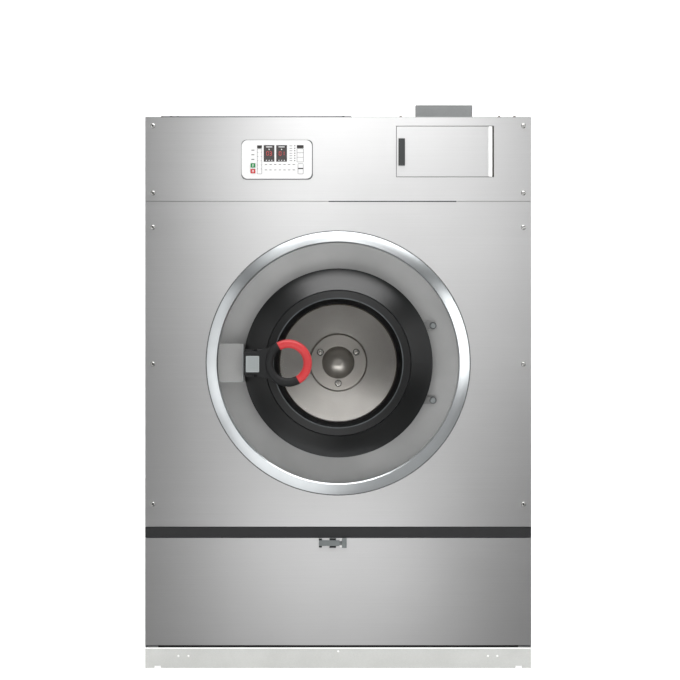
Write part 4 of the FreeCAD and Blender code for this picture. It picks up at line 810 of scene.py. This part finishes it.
@dataclass
class ControlPanel:
    """Keypad overlay with its displays, keys and printed marks.

    Places on the keypad and in the windows are in millimetres from the left and from below.
    """

    # Width of the dark outline round the keypad: painted shadow, a third as wide at the left and top as at
    # the right and bottom.
    gasket: float = 2.4 * MM
    shadow_outline_depth: float = 1.6 * MM
    shadow_outline_corner: float = 13 * MM
    shadow_outline_line: float = 3.4 * MM
    ink: float = 0.15 * MM
    headers: tuple[Bounds, ...] = (
        (40.0, 52.5, 78.5, 86.5), (143.0, 160.5, 79.0, 87.0), (145.5, 160.0, 25.0, 28.0))
    outlines: tuple[Bounds, ...] = (
        (40.0, 52.5, 12.0, 78.0), (143.0, 160.5, 43.0, 78.5), (145.5, 160.0, 12.0, 39.5))
    outline_corner: float = 2.0 * MM
    outline_width: float = 0.9 * MM
    window_width: float = 28 * MM
    # Left and right edges, drops of the foot and head from the window's top, and radius of the corners.
    window_marks: tuple[tuple[float, ...], ...] = ((6.0, 22.0, 5.6, 3.6, 0.5), (12.5, 15.5, 12.5, 9.5, 1.3))
    lamps_mm: tuple[float, ...] = (6.0, 13.0, 20.0)
    lamp: float = 2.4 * MM
    digit_width: float = 5.2 * MM
    digit_height: float = 10.0 * MM
    digit_pitch: float = 7.6 * MM
    digit_rise: float = 21.5 * MM
    bar: float = 1.1 * MM
    shown: tuple[tuple[int, int], tuple[int, int]] = ((0, 3), (0, 1))
    start_bar: Span = (0.8 * MM, 3.4 * MM)
    stop_ring: Span = (1.5 * MM, 2.7 * MM)

    def spot(self, left: float, right: float, foot: float, head: float) -> tuple[Span, Span]:
        """Turn millimetres from the keypad's corner into edges in X and in Z."""
        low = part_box("keypad_plate")[0]
        return (low.x + left * MM, low.x + right * MM), (low.z + foot * MM, low.z + head * MM)

    def build(self) -> None:
        """Make the dark outline round the keypad, which is painted shadow and wider at its right and lower
        edges, its header marks and what the other methods make.
        """
        low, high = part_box("keypad_plate")
        edge = self.gasket
        # Painted shadow: the dark outline reaches further to the right and below, as a drop shadow does.
        gasket = Blank().plate((low.x - edge / 3, high.x + edge), (low.z - edge, high.z + edge / 3), FRONT,
                               self.shadow_outline_depth, self.shadow_outline_corner, self.shadow_outline_line)
        gasket.piece("keypad_shadow_outline", "cabinet", "seal_rubber", Coat.shade)

        black = Blank()
        for bounds in self.headers:
            black.plate(*self.spot(*bounds), low.y, self.ink, 1.0 * MM)
        black.piece("keypad_header_marks", "cabinet", "display_dark", Coat.ink)
        self.build_lines(low.y)
        self.build_displays()
        self.build_signs()

    def build_lines(self, face: float) -> None:
        """Make the grey key outlines and the bars and dots between them.

        Args:
            face: Front of the keypad.
        """
        lines = Blank()
        for bounds in self.outlines:
            lines.plate(*self.spot(*bounds), face, self.ink, self.outline_corner, self.outline_width)
        # Left, right, foot and head of each mark, and the radius of its corners.
        marks = [(x, x + 2.5, z, z + 1.0, 0.0) for z in (25.0, 35.0, 46.0, 57.0, 68.0) for x in (40.5, 49.5)]
        marks += [(143.0, 160.5, z, z + 0.8, 0.0) for z in (55.0, 67.0)]
        marks += [(x, x + 6.0, z, z + 1.6, 0.5) for z in (22.0, 36.0) for x in range(60, 133, 12)]
        for z in (46.0 + row * 6.4 for row in range(7)):
            marks += [(124.0, 131.0, z, z + 1.4, 0.5), (136.0, 139.0, z - 0.6, z + 2.4, 1.2)]
        marks += [(25.0, 33.0, z, z + 2.0, 0.6) for z in (49.0, 61.0, 73.0)]
        for *bounds, corner in marks:
            lines.plate(*self.spot(*bounds), face, self.ink, corner * MM)
        lines.piece("keypad_line_marks", "cabinet", "keypad_white", Coat.ink_grey)

    def build_displays(self) -> None:
        """Make the pale marks and the lit digits of the two windows."""
        low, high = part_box("display_windows")
        foot = low.z + self.lamp
        marks, bars = Blank(), Blank()
        for pair, left in zip(self.shown, (low.x, high.x - self.window_width)):
            for start, end, drop, rise, corner in self.window_marks:
                level = (high.z - drop * MM, high.z - rise * MM)
                marks.plate((left + start * MM, left + end * MM), level, low.y, self.ink, corner * MM)
            for lamp in self.lamps_mm:
                start = left + lamp * MM
                marks.plate((start, start + self.lamp), (foot, foot + self.lamp), low.y, self.ink, 1.0 * MM)
            for place, digit in enumerate(pair):
                x = left + self.window_width / 2 + (place - 0.5) * self.digit_pitch
                self.add_digit(bars, digit, (x, low.z + self.digit_rise), low.y)
        marks.piece("display_marks", "cabinet", "keypad_white", Coat.keypad)
        bars.piece("display_digits", "cabinet", "stop_red", Coat.segment)

    def add_digit(self, blank: Blank, digit: int, middle: Span, y: float) -> None:
        """Add one seven-bar digit.

        Args:
            blank: Mesh that takes it.
            digit: Number to show.
            middle: Its middle in X and Z.
            y: Face that it lies on.
        """
        half_x, half_z = self.digit_width / 2, self.digit_height / 2
        wide = self.bar / 2
        for segment in DIGITS[digit]:
            across, up, flat = segment.value
            size = (half_x * 0.75, wide) if flat else (wide, half_z * 0.42)
            x, z = middle[0] + across * half_x, middle[1] + up * half_z
            blank.plate(around(x, size[0]), around(z, size[1]), y, self.ink, wide * 0.8)

    def build_signs(self) -> None:
        """Make the bar on the start key and the ring on the stop key."""
        low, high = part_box("start_button")
        middle = (low + high) / 2
        x, z = around(middle.x, self.start_bar[0]), around(middle.z, self.start_bar[1])
        bar = Blank().plate(x, z, low.y, self.ink)
        bar.piece("start_button_sign", "start_button", "keypad_white", Coat.keypad)

        low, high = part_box("stop_button")
        middle = (low + high) / 2
        inner, outer = self.stop_ring
        profile = [(inner, 0.0), (inner, self.ink), (outer, self.ink), (outer, 0.0), (inner, 0.0)]
        ring = Blank().lathe(profile, [(middle.x, low.y, middle.z)])
        ring.piece("stop_button_sign", "stop_button", "keypad_white", Coat.keypad)

    def dress(self) -> None:
        """Put the finishes on the keypad."""
        dress(Coat.keypad, "keypad_plate")
        dress(Coat.window, "display_windows")
        dress(Coat.start, "start_button")
        dress(Coat.stop, "stop_button")
        dress(Coat.plastic, "control_box")


@dataclass
class Dispenser:
    """Soap dispenser behind a flush door."""

    knuckles: int = 7
    knuckle_radius: float = 1.75 * MM
    knuckle_gap: float = 0.8 * MM
    knuckle_steps: int = 16

    def build(self) -> None:
        """Make the hinge knuckles along the right edge of the door."""
        low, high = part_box("dispenser_hinge")
        step = (high.z - low.z) / self.knuckles
        r, gap = self.knuckle_radius, self.knuckle_gap
        profile = [(0.0, gap / 2), (r * 0.8, gap / 2), (r, gap), (r, step - gap), (r * 0.8, step - gap / 2),
                   (0.0, step - gap / 2)]
        feet = [(high.x - r, (low.y + high.y) / 2, low.z + number * step) for number in range(self.knuckles)]
        barrel = Blank().lathe(profile, feet, Toward.UP, self.knuckle_steps)
        barrel.piece("dispenser_hinge_knuckles", "dispenser_door", "polished_steel", Coat.dark_steel)

    def dress(self) -> None:
        """Put the finishes on the dispenser."""
        dress(Coat.panel, "dispenser_door")
        dress(Coat.plastic, "dispenser_hopper")
        dress(Coat.pull, "dispenser_pull")
        dress(Coat.leaf, "dispenser_leaf")
        dress(Coat.dark_steel, "dispenser_hinge")


@dataclass
class DoorGroup:
    """Round door with its trim ring, glass, lock and ring handle."""

    label_x: Span = (-0.2385, -0.2045)
    label_z: Span = (0.767, 0.809)
    label_depth: float = 0.16 * MM
    label_sink: float = 0.25 * MM
    label_corner: float = 2 * MM
    label_rim: float = 2.2 * MM
    trim_radius: float = 340.4 * MM
    trim_steps: int = 160
    bolt_x: float = 246 * MM
    bolt_depth: float = 60 * MM
    bolt_rise: float = 97 * MM
    bolt_steps: int = 32
    # Width and depth of the light strips along the lock box's edges: painted highlight.
    edge_highlight_width: float = 2 * MM
    edge_highlight_depth: float = 0.5 * MM
    gasket_radius: float = 153.6 * MM
    gasket_wall: float = 2.2 * MM
    gasket_steps: int = 128
    bead_radius: float = 1.1 * MM
    bead_steps: int = 10

    def build(self) -> None:
        """Make the label plate of the handle, and what the other methods make."""
        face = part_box("handle")[0].y + self.label_sink
        label = Blank().plate(self.label_x, self.label_z, face, self.label_depth, self.label_corner)
        label.piece("handle_label_plate", "handle", "lug_grey", Coat.plate)
        rim = Blank().plate(self.label_x, self.label_z, face, self.label_depth * 1.4, self.label_corner,
                            self.label_rim)
        rim.piece("handle_label_rim", "handle", "lug_grey", Coat.rim)
        self.build_surround()
        self.build_glass_seal()

    def build_surround(self) -> None:
        """Make the gasket of the trim ring, the bolts of the hinge with dark washers that are partly painted
        shadow, and light strips of painted highlight along the lock box's right and lower edges.
        """
        r = self.trim_radius
        profile = [(r, 0.0), (r, 1.4 * MM), (r + 2.2 * MM, 1.2 * MM), (r + 3 * MM, 0.0), (r, 0.0)]
        ring = Blank().lathe(profile, [(0.0, FRONT, AXIS_Z)], steps=self.trim_steps)
        ring.piece("trim_gasket", "cabinet", "seal_rubber", Coat.shade)

        feet = [(self.bolt_x, FRONT + self.bolt_depth, AXIS_Z + side * self.bolt_rise) for side in (-1, 1)]
        profile = mm((0.0, 5.6), (5.4, 5.2), (7.2, 3.6), (7.4, 0.0), (0.0, 0.0))
        bolts = Blank().lathe(profile, feet, steps=self.bolt_steps)
        bolts.piece("hinge_bolt_heads", "cabinet", "polished_steel", Coat.rim)
        # Dark washers round the bolt heads: partly painted shadow, for the dark ring that the heads' contact
        # shadow makes.
        profile = mm((7.0, 1.2), (8.8, 1.0), (8.9, 0.0), (7.0, 1.2))
        washers = Blank().lathe(profile, feet, steps=self.bolt_steps)
        washers.piece("hinge_bolt_shadow_washers", "cabinet", "seal_rubber", Coat.shade)

        # Painted highlight: light strips along the right and lower edges of the lock box, where its folded
        # edges catch the light.
        low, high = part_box("lock_box")
        upright = ((high.x - self.edge_highlight_width, high.x), (low.z + 1 * MM, high.z - 1 * MM))
        foot = ((low.x + 8 * MM, high.x), (low.z + 0.6 * MM, low.z + 2.2 * MM))
        edge_strips = Blank().plate(*upright, low.y, self.edge_highlight_depth).plate(*foot, low.y, self.edge_highlight_depth)
        edge_strips.piece("lock_box_edge_highlight", "cabinet", "lug_grey", Coat.rim)

    def build_glass_seal(self) -> None:
        """Make the gasket round the glass and the glossy bead along its edge."""
        centre = (0.0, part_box("door_glass")[0].y, AXIS_Z)
        r, wall, tube = self.gasket_radius, self.gasket_wall, self.bead_radius
        profile = [(r, 0.0), (r - wall, 0.0), (r - wall, wall), (r - wall / 2, wall * 1.6), (r, wall * 1.2),
                   (r, 0.0)]
        gasket = Blank().lathe(profile, [centre], steps=self.gasket_steps)
        gasket.piece("glass_gasket", "door", "seal_rubber", Coat.gasket)

        turns = [math.tau * step / self.bead_steps for step in range(self.bead_steps + 1)]
        profile = [(r - wall + tube * math.cos(turn), wall * 1.6 + tube * math.sin(turn)) for turn in turns]
        bead = Blank().lathe(profile, [centre], steps=self.gasket_steps)
        bead.piece("glass_bead", "door", "seal_rubber", Coat.bead)

    def dress(self) -> None:
        """Put the finishes on the door."""
        dress(Coat.trim, "trim_ring")
        dress(Coat.black, "door_ring")
        dress(Coat.lever, "latch_base", "handle")
        dress(Coat.grip, "handle_grip")
        dress(Coat.glass, "door_glass")
        dress(Coat.rubber, "door_seal")
        dress(Coat.alloy, "door_frame")
        dress(Coat.lock, "lock_box", "hinge_lugs", "hinge_arm")
        dress(Coat.bright, "hinge_pin", "handle_pin")


@dataclass
class WashUnit:
    """Tub and drum with what turns the drum."""

    flange: float = 6 * MM
    screw_radius: float = 54.7 * MM
    screw_angles: tuple[float, ...] = (30.0, 150.0, 270.0)

    def build(self) -> None:
        """Make the three screws of the hub cap with their washers and the dark seal rings round them, which
        are partly painted shade.
        """
        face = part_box("hub_cap")[1].y - self.flange
        turns = [math.radians(angle) for angle in self.screw_angles]
        r = self.screw_radius
        feet = [(r * math.cos(turn), face, AXIS_Z + r * math.sin(turn)) for turn in turns]
        # Dark rubber rings round the washers: partly painted shade, for the dark outline round each screw.
        rings = Blank().lathe(mm((7.2, 0.9), (8.8, 0.8), (9.2, 0.0), (7.2, 0.9)), feet)
        rings.piece("hub_seal_shade_rings", "drum", "seal_rubber", Coat.rubber)
        washers = Blank().lathe(mm((3.0, 1.4), (6.9, 1.2), (7.3, 0.0), (3.0, 1.4)), feet)
        washers.piece("hub_washers", "drum", "drum_steel", Coat.bright)
        screws = Blank().lathe(mm((0.0, 2.6), (2.6, 2.4), (4.4, 1.6), (4.6, 0.0), (0.0, 0.0)), feet)
        screws.piece("hub_screws", "drum", "drum_steel", Coat.hub)

    def dress(self) -> None:
        """Put the finishes on the wash unit and its drive."""
        dress(Coat.recess, "tub_front", "outer_tub", "vent_duct")
        dress(Coat.drum, "drum", "drum_lifters")
        dress(Coat.hub, "hub_cap")
        dress(Coat.iron, "drum_spider", "drum_pulley", "motor_pulley", "bearing_housing")
        dress(Coat.bright, "bearings")
        dress(Coat.rubber, "drive_belt")
        dress(Coat.motor, "motor")


@dataclass
class LowerPanel:
    """Latch of the lower access panel."""

    bar_z: Span = (318.3 * MM, 330.7 * MM)
    grip_x: Span = (-50 * MM, -42 * MM)
    grip_gap: float = 1 * MM
    grip_corner: float = 1.6 * MM
    cap_half: float = 7.3 * MM
    cap_inset: float = 0.4 * MM
    cap_depth: float = 1 * MM
    cap_corner: float = 3.2 * MM
    # Black pads on the post above and below the toggle: painted shade, for the shade in the post's middle.
    painted_pad_x: Span = (-22.5 * MM, -5.7 * MM)
    shade_pad_gap: float = 0.6 * MM
    shade_pad_sink: float = 0.2 * MM
    # White strip beside the toggle's right end: painted highlight.
    highlight_x: Span = (4.4 * MM, 9.4 * MM)
    highlight_size: float = 2 * MM

    def build(self) -> None:
        """Make the ears and cap of the toggle, black pads of painted shade on its post, and a white strip of
        painted highlight beside the toggle's right end.
        """
        toggle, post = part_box("latch_toggle"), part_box("panel_latch")
        depth = toggle[1].y - toggle[0].y - self.grip_gap
        ears = Blank()
        for level in ((post[0].z + self.grip_gap, self.bar_z[0]), (self.bar_z[1], post[1].z - self.grip_gap)):
            ears.plate(self.grip_x, level, toggle[1].y, depth, self.grip_corner)
        ears.piece("latch_grip_ears", "latch_toggle", "latch_grey", Coat.lever)

        level = around((toggle[0].z + toggle[1].z) / 2, self.cap_half)
        cap = Blank().plate((toggle[0].x + self.cap_inset, toggle[1].x), level, toggle[0].y, self.cap_depth,
                            self.cap_corner)
        cap.piece("latch_toggle_cap", "latch_toggle", "latch_grey", Coat.latch)

        # Painted shade: black pads on the post above and below the toggle.
        gap, back = self.shade_pad_gap, post[0].y + self.shade_pad_sink
        pads = Blank()
        for foot, head in ((post[0].z, self.bar_z[0]), (self.bar_z[1], post[1].z)):
            pads.plate(self.painted_pad_x, (foot + gap, head - gap), back, gap, gap)
        pads.piece("latch_post_painted_shade", "latch_toggle", "latch_grey", Coat.lever)

        # Painted highlight: a white strip beside the right end of the toggle.
        level = (post[0].z + self.highlight_size, post[1].z - self.highlight_size)
        glint_strip = Blank().plate(self.highlight_x, level, FRONT, self.highlight_size, self.highlight_size)
        glint_strip.piece("latch_painted_highlight", "lower_panel", "latch_grey", Coat.white)

    def dress(self) -> None:
        """Put the finishes on the latch."""
        dress(Coat.latch, "panel_latch", "latch_toggle")


@dataclass
class RearServices:
    """Water, drain and power connections, and the screws of the back."""

    screw: ScrewHead = ScrewHead(5.5 * MM, 3.0 * MM)
    screw_inset: float = 12 * MM
    screw_columns: int = 4
    screw_shares: tuple[float, ...] = (0.25, 0.5, 0.75)
    louvre_rows: int = 6
    louvre_x: float = 150 * MM
    louvre_z: float = 520 * MM
    louvre_pitch: float = 36 * MM
    slot_size: Span = (180 * MM, 14 * MM)
    slot_depth: float = 0.3 * MM
    hood_margin: float = 3 * MM
    hood_reach: Span = (4 * MM, 8 * MM)
    hood_depth: float = 5 * MM
    blank_x: Span = (-60 * MM, 80 * MM)
    blank_z: Span = (1215 * MM, 1305 * MM)
    blank_depth: float = 0.6 * MM
    blank_corner: float = 3 * MM
    border_depth: float = 0.9 * MM
    border_width: float = 2 * MM

    def build(self) -> None:
        """Make the screws and louvres of the rear cover, with dark plates of painted shade in its slots, and
        the bare plate above it.
        """
        low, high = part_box("rear_cover")
        left, right = low.x + self.screw_inset, high.x - self.screw_inset
        shares = [number / (self.screw_columns - 1) for number in range(self.screw_columns)]
        levels = (low.z + self.screw_inset, high.z - self.screw_inset)
        spots = [(left + share * (right - left), high.y, z) for z in levels for share in shares]
        for x in (left, right):
            spots += [(x, high.y, low.z + share * (high.z - low.z)) for share in self.screw_shares]
        heads = Blank()
        self.screw.add(heads, spots, Toward.BACK)
        heads.piece("rear_cover_screws", "cabinet", "panel_steel", Coat.bright)

        # Dark plates under the louvre hoods: painted shade, for the dark behind the open slots.
        slots, hoods = Blank(), Blank()
        width, height = self.slot_size
        for middle in (-self.louvre_x, self.louvre_x):
            for row in range(self.louvre_rows):
                z = self.louvre_z + row * self.louvre_pitch
                edge = z + height
                slots.plate(around(middle, width / 2), (z, edge), high.y + self.slot_depth, self.slot_depth)
                hoods.plate(around(middle, width / 2 + self.hood_margin),
                            (edge - self.hood_reach[0], edge + self.hood_reach[1]), high.y + self.hood_depth,
                            self.hood_depth, self.hood_margin)
        slots.piece("rear_cover_slot_shade", "cabinet", "seal_rubber", Coat.rubber)
        hoods.piece("rear_cover_louvres", "cabinet", "panel_steel", Coat.zinc)

        blank = Blank().plate(self.blank_x, self.blank_z, BACK + self.blank_depth, self.blank_depth,
                              self.blank_corner)
        blank.piece("rear_blank_plate", "cabinet", "lug_grey", Coat.plate)
        border = Blank().plate(self.blank_x, self.blank_z, BACK + self.border_depth, self.border_depth,
                               self.blank_corner, self.border_width)
        border.piece("rear_plate_border", "cabinet", "lug_grey", Coat.rim)

    def dress(self) -> None:
        """Put the finishes on the connections."""
        dress(Coat.plastic, "water_pipes", "drain_valve", "drain_pipe")
        dress(Coat.rubber, "cable_gland")
        dress(Coat.zinc, "rear_panel", "rear_cover")
        dress(Coat.brass, "inlet_valves")


@dataclass(frozen=True)
class Softbox:
    """Soft rectangular light: where it hangs, what it faces, its width and height, and its watts."""

    name: str
    spot: Spot
    target: Spot
    size: Span
    power: float

    def hang(self) -> None:
        """Add the light to the scene."""
        data = bpy.data.lights.new(self.name, "AREA")
        data.shape = "RECTANGLE"
        data.size, data.size_y = self.size
        data.energy = self.power
        light = bpy.data.objects.new(self.name, data)
        bpy.context.scene.collection.objects.link(light)
        light.location = self.spot
        light.rotation_euler = (Vector(self.target) - Vector(self.spot)).to_track_quat("-Z", "Y").to_euler()
        light.visible_camera = False


@dataclass(frozen=True)
class Card:
    """Patch of the room: its middle, the cosines at which it starts and is full, and its glow."""

    pole: Spot
    reach: Span
    glow: float


@dataclass
class Studio:
    """Pale floor, soft lights and the camera of the photograph."""

    pixel: float = 2.59 * MM
    image: float = 680.0
    frame_middle: Span = (4.7 * MM, 850.3 * MM)
    lens: float = 600.0
    sensor: float = 36.0
    floor_radius: float = 40.0
    wall_height: float = 60.0
    stage_steps: int = 96
    room_glow: float = 1.2
    # The dark in front of the machine, then two dim wings and two low cards at its sides.
    cards: tuple[Card, ...] = (
        Card((0.1, -0.99, -0.1), (-0.3, 0.35), 0.018),
        Card((-0.56, -0.78, -0.28), (0.84, 0.97), 0.42),
        Card((0.56, -0.78, -0.28), (0.84, 0.97), 0.42),
        Card((-0.3, -0.71, -0.635), (0.82, 0.95), 1.5),
        Card((0.43, -0.6, -0.67), (0.82, 0.96), 0.45))
    lights: tuple[Softbox, ...] = (
        Softbox("band_softbox", (0.06, -2.0, 1.9), (0.06, FRONT, 0.8), (0.55, 0.9), 5.2),
        Softbox("side_softbox", (0.4, -2.0, 1.2), (0.4, FRONT, 0.8), (0.4, 1.0), 1.2),
        Softbox("middle_softbox", (-0.15, -2.3, 1.25), (-0.15, FRONT, 0.6), (0.45, 0.6), 1.6),
        Softbox("foot_softbox", (-0.02, -2.3, 0.3), (-0.02, FRONT, 0.3), (0.6, 0.4), 1.7),
        Softbox("left_softbox", (-1.85, -1.74, 0.98), (0.0, FRONT, AXIS_Z), (0.8, 2.15), 7.2),
        Softbox("right_softbox", (1.85, -1.74, 1.2), (0.0, FRONT, AXIS_Z), (0.7, 1.36), 11.6),
        Softbox("top_softbox", (0.3, -1.15, 2.9), (0.3, FRONT, AXIS_Z), (2.6, 0.55), 42.0),
        Softbox("top_left_softbox", (-0.95, -1.74, 2.45), (-0.2, FRONT, AXIS_Z), (0.7, 0.5), 1.5),
        Softbox("drum_light", (0.0, FRONT + 0.14, AXIS_Z - 0.2), (0.0, FRONT + 0.62, AXIS_Z), (0.42, 0.08),
                0.95))

    def build(self) -> None:
        """Make the stage, lights, world and camera."""
        self.add_stage()
        self.add_world()
        for light in self.lights:
            light.hang()
        self.add_camera()
        settings = bpy.context.scene.view_settings
        settings.view_transform = "Standard"
        settings.look = "None"

    def add_stage(self) -> None:
        """Make the floor disc and the cyclorama round it, which the steel doesn't mirror."""
        disc = Blank()
        bmesh.ops.create_circle(disc.mesh, cap_ends=True, segments=self.stage_steps, radius=self.floor_radius)
        floor = disc.settle("studio_floor", LitBackdrop("floor_light_table", "#f4f4f4", 0.75))
        floor.visible_glossy = False

        ring = Blank()
        rim = bmesh.ops.create_circle(ring.mesh, segments=self.stage_steps, radius=self.floor_radius)["verts"]
        edges = list({edge for vert in rim for edge in vert.link_edges})
        raised = bmesh.ops.extrude_edge_only(ring.mesh, edges=edges)["geom"]
        top = [v for v in raised if isinstance(v, bmesh.types.BMVert)]
        bmesh.ops.translate(ring.mesh, vec=(0.0, 0.0, self.wall_height), verts=top)
        wall = ring.settle("studio_cyclorama", LitBackdrop("cyclorama_white", "#f4f4f4", 1.0))
        wall.visible_glossy = False
        wall.visible_diffuse = False
        wall.visible_transmission = False
        wall.visible_shadow = False

    def add_world(self) -> None:
        """Make a pale room that is dark in front of the machine, apart from four cards at its sides."""
        world = bpy.data.worlds.new("studio_room")
        bpy.context.scene.world = world
        world.use_nodes = True
        world.node_tree.nodes.clear()
        add = partial(add_node, world.node_tree)
        way = add("ShaderNodeTexCoord").outputs["Generated"]
        colour = grey(self.room_glow)
        for card in self.cards:
            lean = add("ShaderNodeVectorMath", {
                0: way, 1: Vector(card.pole).normalized()}, operation="DOT_PRODUCT")
            share = add("ShaderNodeMapRange", {
                "Value": lean, "From Min": card.reach[0], "From Max": card.reach[1]},
                interpolation_type="SMOOTHSTEP")
            colour = add("ShaderNodeMix", {0: share, 6: colour, 7: grey(card.glow)}, data_type="RGBA")
        room = add("ShaderNodeBackground", {"Color": colour, "Strength": 1.0})
        add("ShaderNodeOutputWorld", {"Surface": room})

    def add_camera(self) -> None:
        """Make the long-lens camera that looks straight at the front."""
        data = bpy.data.cameras.new("photo_camera")
        data.lens = self.lens
        data.sensor_width = self.sensor
        distance = self.image * self.pixel * self.lens / self.sensor
        camera = bpy.data.objects.new("photo_camera", data)
        bpy.context.scene.collection.objects.link(camera)
        spot = Matrix.Translation((self.frame_middle[0], FRONT - distance, self.frame_middle[1]))
        camera.matrix_world = spot @ Matrix.Rotation(math.radians(90), 4, "X")
        bpy.context.scene.camera = camera


def main() -> None:
    """Build the machine's looks in order."""
    logging.basicConfig(level=logging.INFO)
    for group in (Cabinet, ControlPanel, Dispenser, DoorGroup, WashUnit, LowerPanel, RearServices):
        made = group()
        made.build()
        made.dress()
    Studio().build()


if __name__ == "__main__":
    main()
